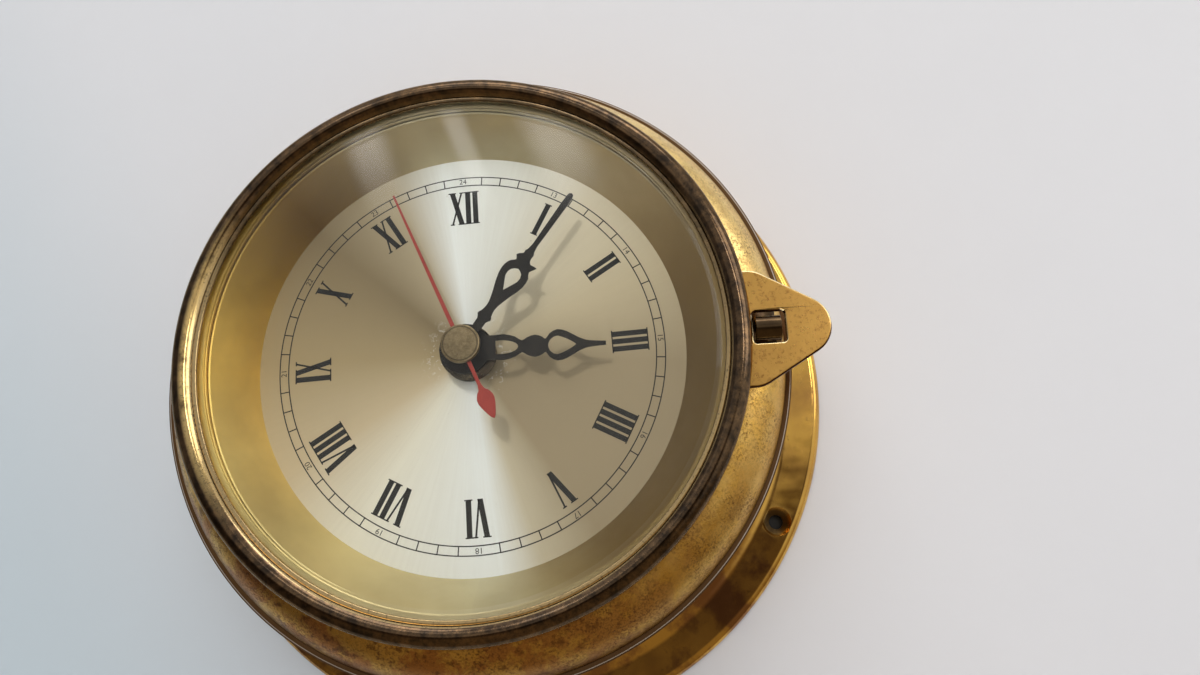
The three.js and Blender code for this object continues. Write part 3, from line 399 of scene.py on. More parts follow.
def bead_bronze():
    """Glossy brown patina with dark specks, painted brass on the inner flank at the left as a
    highlight; the thin lip beside the glass is painted brass as a highlight, dark only at the top."""
    p = Paint("bead_bronze")
    x, _, z = p.axes()
    flank = p.range(p.math("ABSOLUTE", p.math("SUBTRACT", p.radius(), BEAD_CENTRE[0] - 1.1)),
                    0.4, 1.4, 1.0, 0.0)
    left = p.range(x, -0.052, -0.040, 1.0, 0.0)
    # Painted highlight: the inner flank at the left is painted brass.
    flank_highlight = p.math("MULTIPLY", p.ramp(p.noise(5, 6, 0.7), (0.30, 0), (0.52, 1)), flank)
    flank_highlight = p.math("MULTIPLY", flank_highlight, left)
    tone = p.mix(p.ramp(p.noise(3, 7, 0.75), (0.40, 0), (0.66, 1)), (0.046, 0.030, 0.018),
                 (0.21, 0.125, 0.06))
    tone = p.mix(flank_highlight, tone, HIGHLIGHT_BRASS)
    # Painted highlight: the lip is painted brass, most below and at the left, and stays dark at the
    # top.
    lip = p.range(p.radius(), DOOR_LIP[1] - 0.1, DOOR_LIP[1] + 0.1, 1.0, 0.0)
    low = p.range(z, -0.02, 0.03, 0.75, 0.1)
    tone = p.mix(p.math("MULTIPLY", lip, p.math("MAXIMUM", low, left)), tone, LIP_HIGHLIGHT)
    specks = p.ramp(p.noise(0.4, 4, 0.75), (0.55, 0), (0.64, 1))
    tone = p.mix(p.math("MULTIPLY", specks, 0.6), tone, (0.03, 0.018, 0.012))
    rough = p.range(p.noise(1.5, 5), 0.3, 0.75, 0.10, 0.18)
    pits = p.bump(p.noise(0.5, 4, 0.75), 0.01)
    return p.principled(Base_Color=tone, Metallic=1.0, Roughness=rough, Normal=pits,
                        Specular_Tint=(0.7, 0.58, 0.45), Coat_Weight=0.25, Coat_Roughness=0.06)


def cone_gold():
    """Satin gold with fine turning lines and a painted sheen that changes round the ring."""
    p = Paint("cone_gold")
    # Painted sheen: the tone changes round the ring as the light on the satin metal does.
    turn_by = p.math("MULTIPLY_ADD", p.angle(), 1 / (2 * math.pi), 0.5)
    tone = p.ramp(turn_by, (0.0, (0.62, 0.55, 0.34)), (0.13, (0.62, 0.51, 0.22)),
                  (0.19, (0.84, 0.66, 0.24)), (0.25, (0.98, 0.68, 0.16)),
                  (0.375, (0.28, 0.165, 0.03)),
                  (0.47, (0.60, 0.52, 0.34)), (0.54, (0.58, 0.50, 0.32)),
                  (0.63, (0.56, 0.46, 0.30)), (0.72, (0.33, 0.235, 0.10)),
                  (0.90, (0.31, 0.22, 0.085)), (1.0, (0.60, 0.53, 0.33)))
    tone = p.mix(p.range(p.noise(16, 4), 0.35, 0.7, 0.0, 0.25), tone, (0.30, 0.21, 0.09))
    rough = p.range(p.noise(6, 4), 0.3, 0.7, 0.36, 0.46)
    lines = p.add("ShaderNodeTexNoise", {"Vector": p.add(
        "ShaderNodeCombineXYZ", {0: p.math("MULTIPLY", p.radius(), 9.0)}), "Scale": 1.0})
    return p.principled(Base_Color=tone, Metallic=0.9, Roughness=rough,
                        Normal=p.bump(lines, 0.004))


def tab_gold():
    """Satin sheet with orange-brown specks; its edges are painted bright above as a highlight and
    dark below as shade.
    """
    p = Paint("tab_gold")
    tone = p.mix(p.noise(6, 4), (0.66, 0.38, 0.10), (0.48, 0.26, 0.065))
    specks = p.ramp(p.noise(0.6, 4, 0.7), (0.54, 0), (0.66, 1))
    tone = p.mix(p.math("MULTIPLY", specks, 0.75), tone, (0.30, 0.13, 0.04))
    normal = p.tree.nodes.new("ShaderNodeSeparateXYZ")
    p.tree.links.new(p.add("ShaderNodeTexCoord", out="Normal"), normal.inputs[0])
    # Painted highlight on the edges that face up, painted shade on those that face down.
    edge = p.range(p.math("ABSOLUTE", normal.outputs[1]), 0.86, 0.985, 1.0, 0.0)
    edge_light_and_shade = p.mix(p.range(normal.outputs[2], -0.15, 0.1), (0.10, 0.045, 0.02), (1.0, 0.84, 0.48))
    tone = p.mix(edge, tone, edge_light_and_shade)
    rough = p.math("MULTIPLY_ADD", edge, -0.12, p.range(p.noise(2, 5), 0.3, 0.75, 0.26, 0.42))
    return p.principled(Base_Color=tone, Metallic=1.0, Roughness=rough,
                        Normal=p.bump(p.noise(0.7, 4), 0.02))


def cap_brass():
    """Olive-brown lacquered brass, unevenly rubbed, with a dark line inside its rim."""
    p = Paint("cap_brass")
    tone = p.mix(p.ramp(p.noise(0.9, 6, 0.75), (0.38, 0), (0.64, 1)), (0.20, 0.15, 0.08),
                 (0.33, 0.26, 0.15))
    rim = p.math("ABSOLUTE", p.math("SUBTRACT", p.radius(), radius_of("second_hand_cap") - 0.45))
    tone = p.mix(p.range(rim, 0.05, 0.22, 0.75, 0.0), tone, (0.06, 0.045, 0.025))
    rough = p.range(p.noise(0.8, 5), 0.3, 0.7, 0.3, 0.5)
    return p.principled(Base_Color=tone, Metallic=1.0, Roughness=rough,
                        Normal=p.bump(p.noise(0.4, 4), 0.02))


def plain_metal(name, tone, other, rough, size=3.0, bump=0.01):
    """A metal with a second tone in clouds, used for small fittings."""
    p = Paint(name)
    colour = p.mix(p.ramp(p.noise(size, 5), (0.35, 0), (0.7, 1)), tone, other)
    gloss = p.range(p.noise(size / 2, 5), 0.3, 0.7, rough * 0.8, rough * 1.3)
    return p.principled(Base_Color=colour, Metallic=1.0, Roughness=gloss,
                        Normal=p.bump(p.noise(size / 4, 4), bump))


def plain_coat(name, tone, other, rough, size=2.0, bump=0.01, gleam=0.5):
    """Paint, plastic or rubber with slight mottling and grain."""
    p = Paint(name)
    colour = p.mix(p.ramp(p.noise(size, 5), (0.35, 0), (0.7, 1)), tone, other)
    gloss = p.range(p.noise(size, 4), 0.3, 0.7, rough * 0.85, rough * 1.15)
    return p.principled(Base_Color=colour, Roughness=gloss, Specular_IOR_Level=gleam,
                        Normal=p.bump(p.noise(size / 5, 3), bump))


def dial_silver():
    """Silvered champagne plate brushed in rays, with a painted sheen: silver-white near XII and from
    VI to VIII, and champagne between."""
    p = Paint("dial_silver")
    turns = p.math("MULTIPLY", p.angle(), 55.0)
    rays = p.add("ShaderNodeTexNoise", {"Vector": p.add(
        "ShaderNodeCombineXYZ", {0: turns, 1: p.math("MULTIPLY", p.radius(), 0.05)}),
        "Scale": 1.0, "Detail": 5.0})
    champagne, silver = (0.38, 0.31, 0.20), (0.94, 0.99, 1.0)
    # Painted sheen: silver-white wedges at XII and from VI to VIII, champagne between.
    turn_by = p.math("MULTIPLY_ADD", p.angle(), 1 / (2 * math.pi), 0.5)
    tone = p.ramp(turn_by, (0.0, silver), (0.10, (0.92, 0.90, 0.78)), (0.17, (0.66, 0.55, 0.37)),
                  (0.26, (0.42, 0.33, 0.185)), (0.37, (0.25, 0.195, 0.11)),
                  (0.44, (0.48, 0.41, 0.28)), (0.485, silver), (0.545, (0.84, 0.86, 0.82)),
                  (0.61, (0.74, 0.68, 0.53)), (0.69, (0.60, 0.52, 0.36)),
                  (0.77, (0.38, 0.31, 0.20)), (0.91, champagne),
                  (0.955, (0.62, 0.56, 0.42)), (0.985, silver), (1.0, silver))
    tone = p.mix(p.range(rays, 0.3, 0.75, 0.0, 0.06), tone, (0.35, 0.29, 0.2))
    scuffs = p.ramp(p.noise(1.6, 3, 0.6, distortion=1.5), (0.60, 0), (0.63, 1), (0.66, 0))
    scuffs = p.math("MULTIPLY", scuffs, p.range(p.radius(), 6.0, 11.0, 0.8, 0.0))
    tone = p.mix(scuffs, tone, (0.95, 0.95, 0.92))
    stains = p.ramp(p.noise(1.3, 2), (0.74, 0), (0.78, 1))
    tone = p.mix(p.math("MULTIPLY", stains, 0.5), tone, (0.25, 0.19, 0.12))
    tangent = p.add("ShaderNodeTangent", direction_type="RADIAL", axis="Y")
    return p.principled(Base_Color=tone, Metallic=0.3, Roughness=0.45, Anisotropic=0.5,
                        Tangent=tangent, Normal=p.bump(rays, 0.003), Specular_IOR_Level=0.2)


def clear_glass():
    """Window glass that lets shadow rays through."""
    p = Paint("clear_glass")
    smear = p.range(p.noise(16, 3), 0.35, 0.8, 0.0, 0.03)
    glass = p.add("ShaderNodeBsdfPrincipled", {
        "Base Color": (1.0, 0.99, 0.96, 1), "Roughness": smear, "IOR": 1.32,
        "Transmission Weight": 1.0})
    clear = p.add("ShaderNodeBsdfTransparent", {"Color": (0.97, 0.96, 0.93, 1)})
    ray = p.tree.nodes.new("ShaderNodeLightPath").outputs
    indirect = p.math("MAXIMUM", ray["Is Shadow Ray"], ray["Is Diffuse Ray"])
    return p.surface(p.add("ShaderNodeMixShader", {0: indirect, 1: glass, 2: clear}))


def ink(name, tone):
    p = Paint(name)
    colour = p.mix(p.noise(0.8, 4), tone, tuple(min(1, c * 1.9 + 0.012) for c in tone))
    return p.principled(Base_Color=colour, Roughness=0.45, Specular_IOR_Level=0.15)


MATERIALS = {
    "polished_brass": polished_brass(),
    "aged_brass": shoulder_brass(),
    "bronze": bead_bronze(),
    "satin_gold": tab_gold(),
    "cone_gold": cone_gold(),
    "dull_brass": plain_metal("dull_brass", (0.34, 0.20, 0.08), (0.24, 0.13, 0.05), 0.4),
    "silver_dial": dial_silver(),
    "clear_glass": clear_glass(),
    "black_paint": plain_coat("black_paint", (0.012, 0.011, 0.010), (0.024, 0.021, 0.018), 0.42,
                              gleam=0.2),
    "red_paint": plain_coat("red_paint", (0.31, 0.026, 0.018), (0.38, 0.042, 0.028), 0.4),
    "cap_brass": cap_brass(),
    "dark_bronze": plain_metal("dark_bronze", (0.055, 0.043, 0.03), (0.11, 0.085, 0.055), 0.22),
    "spring_brass": plain_metal("spring_brass", (0.11, 0.07, 0.035), (0.05, 0.03, 0.018), 0.16),
    "rubber_black": plain_coat("rubber_black", (0.02, 0.02, 0.02), (0.03, 0.03, 0.03), 0.8),
    "movement_plastic": plain_coat("movement_plastic", (0.035, 0.036, 0.038),
                                   (0.05, 0.05, 0.052), 0.55, 6.0, 0.02),
    "cover_plastic": plain_coat("cover_plastic", (0.02, 0.02, 0.022), (0.032, 0.032, 0.034), 0.5,
                                5.0, 0.03),
    "gear_plastic": plain_coat("gear_plastic", (0.74, 0.71, 0.62), (0.82, 0.79, 0.71), 0.4),
    "steel": plain_metal("steel", (0.52, 0.53, 0.54), (0.62, 0.63, 0.64), 0.28),
    "spring_steel": plain_metal("spring_steel", (0.42, 0.43, 0.43), (0.5, 0.51, 0.52), 0.35),
    "copper_wire": plain_metal("copper_wire", (0.62, 0.26, 0.10), (0.72, 0.34, 0.15), 0.35, 0.6),
    "board_green": plain_coat("board_green", (0.02, 0.13, 0.055), (0.03, 0.18, 0.08), 0.35, 1.5),
    "battery_skin": plain_coat("battery_skin", (0.04, 0.09, 0.17), (0.05, 0.12, 0.22), 0.3, 5.0),
    "ink": ink("ink", (0.012, 0.012, 0.012)),
}


THIN_SHEETS = {"latch_tab"}
SHARP_EDGE = math.radians(33)      # steeper edges are bevelled, flatter ones are facets of a curve
FLAT_EDGE = math.radians(0.5)
MERGE = 2e-6                       # metres


def smooth_copy(node, body, width, material, slot):
    """A piece in a CAD node's shape, with its curved faces smooth and its edges rounded. A wide
    bevel on a thin sheet has to run unclamped, or its short arc edges hold it back."""
    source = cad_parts[node]
    mesh = source.data.copy()
    mesh.transform(source.matrix_world)
    bm = bmesh.new()
    bm.from_mesh(mesh)
    bmesh.ops.remove_doubles(bm, verts=bm.verts, dist=MERGE)
    bmesh.ops.dissolve_limit(bm, angle_limit=FLAT_EDGE, verts=bm.verts, edges=bm.edges)
    bm.to_mesh(mesh)
    bm.free()
    mesh.shade_smooth()
    mesh.set_sharp_from_angle(angle=SHARP_EDGE)
    piece = bpy.data.objects.new(f"{node}_rounded", mesh)
    bpy.context.scene.collection.objects.link(piece)
    bevel = piece.modifiers.new("round", "BEVEL")
    bevel.width = width * MM
    bevel.segments = 3
    bevel.limit_method = "ANGLE"
    bevel.angle_limit = SHARP_EDGE
    bevel.harden_normals = True
    bevel.use_clamp_overlap = node not in THIN_SHEETS
    finish(piece, body, MATERIALS[material], slot, node)


# ---- Housing ----
def back_shell():
    """Drum, fillet, flange and rolled rim of one sheet, with pressed and pierced screw holes. A
    thin seam of solder closes the gap between the drum's edge and the shoulder."""
    fillet = (DRUM_R + FILLET_R, FLANGE_TOP + FILLET_R)
    rim = (FLANGE_R - RIM_R, FLANGE_TOP - RIM_R)
    inner_fillet = FILLET_R + BACK_SHEET
    inner_rim = RIM_R - BACK_SHEET
    profile = [(DRUM_R - 0.12, DRUM_TOP), (DRUM_R, DRUM_TOP - 0.12)]
    profile += arc(fillet, FILLET_R, FILLET_R, 180, 270, 14)
    profile += arc(rim, RIM_R, RIM_R, 90, 0, 12)
    profile += [(FLANGE_R, WALL), (FLANGE_R - BACK_SHEET, WALL)]
    profile += arc(rim, inner_rim, inner_rim, 0, 90, 8)
    profile += arc(fillet, inner_fillet, inner_fillet, 270, 180, 14)
    seam_r = SHOULDER_R - 0.16
    profile += [(DRUM_R - BACK_SHEET, DRUM_TOP - 0.7), (seam_r, DRUM_TOP - 0.25),
                (seam_r, DRUM_TOP - 0.1), (DRUM_R - BACK_SHEET + 0.12, DRUM_TOP)]
    shell = turn("back_shell_spun", profile)
    for i in range(SCREWS):
        angle = 2 * math.pi * i / SCREWS
        cup = cone("cup", angle, SCREW_R + 0.7, DIMPLE_R + 0.7, FLANGE_TOP - DIMPLE_DEPTH - 0.35,
                   FLANGE_TOP - 0.35)
        boolean(shell, cup, "UNION")
        sink = cone("sink", angle, SCREW_R, DIMPLE_R, FLANGE_TOP - DIMPLE_DEPTH,
                    FLANGE_TOP + 0.002)
        boolean(shell, sink, "DIFFERENCE")
        hole = cone("hole", angle, SCREW_R, SCREW_R, WALL - 1, FLANGE_TOP)
        boolean(shell, hole, "DIFFERENCE")
    shell.data.shade_smooth()
    shell.data.set_sharp_from_angle(angle=math.radians(24))
    finish(shell, "root", MATERIALS["polished_brass"], "polished_brass", "back_shell")


def cone(name, angle, low_r, high_r, low, high, steps=48):
    """A closed cone on a screw hole's axis."""
    centre_x = SCREW_CIRCLE * math.sin(angle)
    centre_z = SCREW_CIRCLE * math.cos(angle)
    verts = []
    for radius, height in ((low_r, low), (high_r, high)):
        for i in range(steps):
            turn_by = 2 * math.pi * i / steps
            verts.append(clock_point(centre_x + radius * math.sin(turn_by),
                                     centre_z + radius * math.cos(turn_by), height))
    faces = [(i, (i + 1) % steps, steps + (i + 1) % steps, steps + i) for i in range(steps)]
    faces += [tuple(range(steps)), tuple(range(2 * steps - 1, steps - 1, -1))]
    return build(name, verts, faces)


def front_shell():
    """The domed shoulder, its skirt inside the drum, and the collar and lip for the dial."""
    span_r = SHOULDER_R - SHOULDER_CENTRE[0]
    span_h = SHOULDER_TOP - SHOULDER_CENTRE[1]
    inner_r = COLLAR_R - FRONT_SHEET
    profile = [(LIP_IN_R, -FRONT_SHEET), (inner_r, -FRONT_SHEET), (inner_r, SHOULDER_TOP - 0.35)]
    profile += arc((inner_r + 0.35, SHOULDER_TOP - 0.35), 0.35, 0.35, 180, 90, 5)
    profile += arc(SHOULDER_CENTRE, span_r, span_h, 90, 0, 36)
    profile += [(SHOULDER_R, SHOULDER_LOW), (SHOULDER_R - FRONT_SHEET, SHOULDER_LOW)]
    profile += arc(SHOULDER_CENTRE, span_r - FRONT_SHEET, span_h - FRONT_SHEET, 0, 86, 20)
    profile += [(COLLAR_R, -2 * FRONT_SHEET), (LIP_IN_R, -2 * FRONT_SHEET)]
    shell = turn("front_shell_spun", profile)
    finish(shell, "root", MATERIALS["aged_brass"], "aged_brass", "front_shell")


def inner_ring():
    """Thin cone ring between the dial and the glass."""
    foot_r = radius_of("inner_ring")
    round_r = 0.2
    profile = [(CONE_IN_R, 0.0), (CONE_IN_R + 0.02, 0.12),
               (CONE_CREST_R - round_r, CONE_TOP - 0.15)]
    profile += arc((CONE_OUT_R - round_r, CONE_TOP - round_r), round_r, round_r, 150, 0, 6)
    profile += [(CONE_OUT_R, CONE_STEP), (foot_r, CONE_STEP - 1.0), (foot_r, 0.0),
                (foot_r - CONE_SHEET, 0.0), (foot_r - CONE_SHEET, CONE_STEP - 1.3),
                (CONE_OUT_R - CONE_SHEET, CONE_STEP - 0.5),
                (CONE_OUT_R - CONE_SHEET, CONE_TOP - 1.5), (CONE_IN_R + 1.2 * CONE_SHEET, 0.0)]
    ring = turn("inner_ring_turned", profile)
    finish(ring, "root", MATERIALS["cone_gold"], "satin_gold", "inner_ring")


def dial_plate():
    hole = 4.3
    thick = 0.8
    plate = turn("dial_plate_brushed", [(hole, -thick), (DIAL_R, -thick), (DIAL_R, 0.0),
                                        (hole, 0.0)])
    finish(plate, "root", MATERIALS["silver_dial"], "silver_dial", "dial_plate")


# ---- Dial printing ----
class Print:
    """Flat ink on the dial: collects polygons in (x, up) mm and makes them one thin sheet."""

    def __init__(self, name):
        self.name = name
        self.verts = []
        self.faces = []

    def polygon(self, points, matrix=None):
        first = len(self.verts)
        for x, up in points:
            place = matrix @ Vector((x, up, 0)) if matrix else Vector((x, up, 0))
            self.verts.append(clock_point(place.x, place.y, PRINT_LIFT))
        self.faces.append(tuple(range(first, first + len(points))))

    def circle(self, radius, width, steps=FINE):
        for i in range(steps):
            start, end = 2 * math.pi * i / steps, 2 * math.pi * (i + 1) / steps
            self.polygon([
                (r * math.sin(a), r * math.cos(a))
                for r, a in ((radius - width / 2, start), (radius + width / 2, start),
                             (radius + width / 2, end), (radius - width / 2, end))])

    def finish(self):
        mesh = bpy.data.meshes.new(self.name)
        mesh.from_pydata([tuple(v) for v in self.verts], [], self.faces)
        piece = bpy.data.objects.new(self.name, mesh)
        bpy.context.scene.collection.objects.link(piece)
        thicken = piece.modifiers.new("ink", "SOLIDIFY")
        thicken.thickness = PRINT_LIFT * MM
        thicken.offset = 0
        return finish(piece, "root", MATERIALS["ink"], "black_paint")


def box(x, half_width, up, half_height):
    """Corners of an upright rectangle."""
    return [(x - half_width, up - half_height), (x + half_width, up - half_height),
            (x + half_width, up + half_height), (x - half_width, up + half_height)]


def at_angle(degrees, radius):
    """Places upright print at a radius, its top turned outward, clockwise from XII."""
    return Matrix.Rotation(-math.radians(degrees), 4, "Z") @ Matrix.Translation((0, radius, 0))


MINUTE = 6.0               # degrees


def minute_track():
    track = Print("minute_track")
    line = 0.22
    for radius in TRACK_R:
        track.circle(radius, line)
    half = (TRACK_R[1] - TRACK_R[0]) / 2
    middle = (TRACK_R[1] + TRACK_R[0]) / 2
    for minute in range(60):
        if minute % 5:
            track.polygon(box(0.0, line / 2, 0.0, half), at_angle(minute * MINUTE, middle))
    track.finish()


NUMERALS = ["XII", "I", "II", "III", "IIII", "V", "VI", "VII", "VIII", "IX", "X", "XI"]
NUMERAL_R = (27.9, 35.1)
WIDE = 1.05                # thick stroke of a numeral, mm
THIN = 0.36                # thin stroke
SERIF = 0.24               # serif's height
SERIF_REACH = 0.26         # how far a serif stands out beside its stroke
BAR_STEP = 1.5             # distance from one bar to the next
V_WIDTH = 3.0
X_WIDTH = 2.9
LETTER_GAP = 0.32


def slanted(x0, x1, width, half):
    """A stroke from (x0, top) to (x1, bottom), its ends cut level."""
    return [(x0 - width / 2, half), (x0 + width / 2, half), (x1 + width / 2, -half),
            (x1 - width / 2, -half)]


def serif(x, width, up):
    return box(x, width / 2 + SERIF_REACH, up, SERIF / 2)


def letter_width(letter):
    return {"I": WIDE, "V": V_WIDTH, "X": X_WIDTH}[letter]


def letter_strokes(letter, half):
    """Polygons of one letter centred on x = 0."""
    inner = half - SERIF / 2
    if letter == "I":
        return [slanted(0, 0, WIDE, half), serif(0, WIDE, inner), serif(0, WIDE, -inner)]
    spread = (letter_width(letter) - WIDE) / 2
    if letter == "V":
        return [slanted(-spread, 0.12, WIDE, half), slanted(spread + 0.2, 0.3, THIN, half),
                serif(-spread, WIDE, inner), serif(spread + 0.2, THIN, inner)]
    return [slanted(-spread, spread, WIDE, half), slanted(spread + 0.1, -spread - 0.1, THIN, half),
            serif(-spread, WIDE, inner), serif(spread + 0.1, THIN, inner),
            serif(spread, WIDE, -inner), serif(-spread - 0.1, THIN, -inner)]


def numeral_ring():
    """Roman numerals with their feet to the centre; 4 is IIII."""
    ring = Print("hour_numerals")
    half = (NUMERAL_R[1] - NUMERAL_R[0]) / 2
    middle = (NUMERAL_R[1] + NUMERAL_R[0]) / 2
    for hour, text in enumerate(NUMERALS):
        widths = [letter_width(letter) for letter in text]
        gaps = [BAR_STEP - WIDE if a == b == "I" else LETTER_GAP for a, b in zip(text, text[1:])]
        x = -(sum(widths) + sum(gaps)) / 2
        for k, letter in enumerate(text):
            centre = x + widths[k] / 2
            place = at_angle(hour * 5 * MINUTE, middle)
            for stroke in letter_strokes(letter, half):
                ring.polygon([(centre + px, py) for px, py in stroke], place)
            x += widths[k] + (gaps[k] if k < len(gaps) else 0)
    ring.finish()


def small_numbers():
    """13 to 24 inside the track, set in the built-in plain font."""
    middle = (TRACK_R[1] + TRACK_R[0]) / 2
    for hour in range(12):
        number = 24 if hour == 0 else 12 + hour
        curve = bpy.data.curves.new(f"hour_{number}", "FONT")
        curve.body = str(number)
        curve.size = 1.55 * MM
        curve.align_x = "CENTER"
        curve.align_y = "CENTER"
        text = bpy.data.objects.new(f"number_{number}", curve)
        bpy.context.scene.collection.objects.link(text)
        upright = Matrix.Rotation(math.radians(90), 4, "X")
        angle = math.radians(hour * 5 * MINUTE)
        spot = clock_point(middle * math.sin(angle), middle * math.cos(angle), PRINT_LIFT)
        text.matrix_world = Matrix.Translation(spot) @ Matrix.Rotation(angle, 4, "Y") @ upright
        bpy.context.view_layer.update()
        mesh = bpy.data.meshes.new_from_object(text)
        mesh.transform(text.matrix_world)
        piece = bpy.data.objects.new(f"small_number_{number}", mesh)
        bpy.context.scene.collection.objects.link(piece)
        bpy.data.objects.remove(text)
        finish(piece, "root", MATERIALS["ink"], "black_paint")


# ---- Door ----
def bezel_ring():
    """Bead, dark groove, thin lip and skirt."""
    low, high = DOOR_LIP
    lip_top = GLASS_TOP - 0.05
    lip_low = GLASS_TOP - 0.7
    profile = [(POCKET_R, SKIRT_LOW), (SKIRT_R - 0.15, SKIRT_LOW), (SKIRT_R, SKIRT_LOW + 0.15),
               (SKIRT_R, BEAD_CENTRE[1] - 1.95)]
    profile += arc(BEAD_CENTRE, BEAD_R, BEAD_R, -58, 158, 40)
    profile += [(high + 0.05, lip_low + 0.25), (high - 0.12, lip_low + 0.25)]
    profile += arc((high - 0.35, lip_top - 0.2), 0.2, 0.2, 0, 90, 4)
    profile += arc((low + 0.2, lip_top - 0.25), 0.2, 0.2, 90, 180, 4)
    profile += [(low, lip_low), (POCKET_R, lip_low)]
    ring = turn("bezel_ring_rolled", profile)
    finish(ring, "door", MATERIALS["bronze"], "bronze", "bezel_ring")


def door_glass():
    """Bevelled disc."""
    pane = turn("glass_bevelled", [
        (0.0, GLASS_LOW), (GLASS_R, GLASS_LOW), (GLASS_R, GLASS_TOP - 1.25),
        (GLASS_SHOULDER_R, GLASS_TOP - 0.8), (GLASS_FLAT_R, GLASS_TOP), (0.0, GLASS_TOP)],
        closed=False, sharp=8.0)
    finish(pane, "door", MATERIALS["clear_glass"], "clear_glass", "glass")


def ring_from(node, name, inner, material, slot):
    """A smooth square-section ring for a faceted node."""
    low, high = height_of(node)
    outer = radius_of(node)
    edge = 0.08
    ring = turn(name, [(inner, low), (outer, low), (outer, high - edge), (outer - edge, high),
                       (inner + edge, high), (inner, high - edge)])
    finish(ring, "door", MATERIALS[material], slot, node)


# ---- Centre ----
def centre_nut():
    """Round nut with a visible thread."""
    low, high = height_of("centre_nut")
    outer = radius_of("centre_nut")
    inner = NUT_IN_R
    ribs = 5
    depth = 0.45
    pitch = (high - low) / ribs
    profile = [(inner, low)]
    for rib in range(ribs):
        base = low + rib * pitch
        profile += [(outer - depth, base), (outer - depth, base + 0.25 * pitch),
                    (outer - 0.05, base + 0.45 * pitch), (outer, base + 0.6 * pitch),
                    (outer - 0.05, base + 0.75 * pitch)]
    profile += [(outer - depth, high), (inner, high)]
    nut = turn("centre_nut_threaded", profile, MEDIUM)
    finish(nut, "root", MATERIALS["dark_bronze"], "dark_bronze", "centre_nut")


def second_cap():
    low, high = height_of("second_hand_cap")
    outer = radius_of("second_hand_cap")
    profile = [(0.0, low), (outer - 0.1, low)]
    profile += arc((outer - 0.1, low + 0.1), 0.1, 0.1, -90, 0, 3)
    profile += arc((outer - 0.28, high - 0.28), 0.28, 0.28, 0, 90, 6)
    profile += [(0.0, high)]
    cap = turn("second_hand_cap_turned", profile, MEDIUM, closed=False)
    finish(cap, "seconds_arbor", MATERIALS["cap_brass"], "cap_brass", "second_hand_cap")


# ---- Pieces that keep the CAD nodes' shapes ----
# node: body, edge radius in mm, material
ROUNDED = {
    "latch_tab": ("door", 0.47, "satin_gold"),
    "catch_spring": ("root", 0.12, "spring_brass"),
    "catch_rivet_upper": ("root", 0.06, "satin_gold"),
    "catch_rivet_lower": ("root", 0.06, "satin_gold"),
    "hinge_case_leaf": ("root", 0.08, "dull_brass"),
    "hinge_door_leaf": ("door", 0.08, "dull_brass"),
    "hinge_pin": ("root", 0.08, "steel"),
    "hour_hand": ("hour_pipe", 0.07, "black_paint"),
    "minute_hand": ("minute_pipe", 0.07, "black_paint"),
    "second_hand": ("seconds_arbor", 0.06, "red_paint"),
    "back_cover": ("root", 0.3, "cover_plastic"),
    "centre_bush": ("root", 0.1, "cap_brass"),
    "rubber_washer": ("root", 0.1, "rubber_black"),
    "movement_front_housing": ("root", 0.3, "movement_plastic"),
    "movement_rear_housing": ("root", 0.3, "movement_plastic"),
    "train_plate": ("root", 0.1, "gear_plastic"),
    "stator": ("root", 0.08, "spring_steel"),
    "coil": ("root", 0.4, "copper_wire"),
    "circuit_board": ("root", 0.05, "board_green"),
    "quartz_crystal": ("root", 0.1, "steel"),
    "battery": ("root", 0.15, "battery_skin"),
    "battery_contact_positive": ("root", 0.1, "spring_steel"),
    "battery_contact_negative": ("root", 0.1, "spring_steel"),
    "seconds_wheel": ("seconds_arbor", 0.03, "steel"),
    "third_wheel": ("third_wheel_body", 0.03, "gear_plastic"),
    "centre_wheel": ("centre_wheel_body", 0.03, "gear_plastic"),
    "intermediate_wheel": ("intermediate_wheel_body", 0.03, "gear_plastic"),
    "rotor": ("rotor_body", 0.03, "steel"),
    "cannon_pinion": ("minute_pipe", 0.03, "gear_plastic"),
    "motion_wheel": ("motion_wheel_body", 0.03, "gear_plastic"),
    "hour_wheel": ("hour_pipe", 0.03, "gear_plastic"),
    "setting_knob": ("setting_knob_body", 0.08, "movement_plastic"),
}
SLOTS = {"dull_brass": "aged_brass", "spring_brass": "dark_bronze"}


def rounded_pieces():
    for node, (body, width, material) in ROUNDED.items():
        smooth_copy(node, body, width, material, SLOTS.get(material, material))


# ---- Stage, lights and camera ----
BOARD_HOLE_R = SCREW_CIRCLE - DIMPLE_R - 2.0


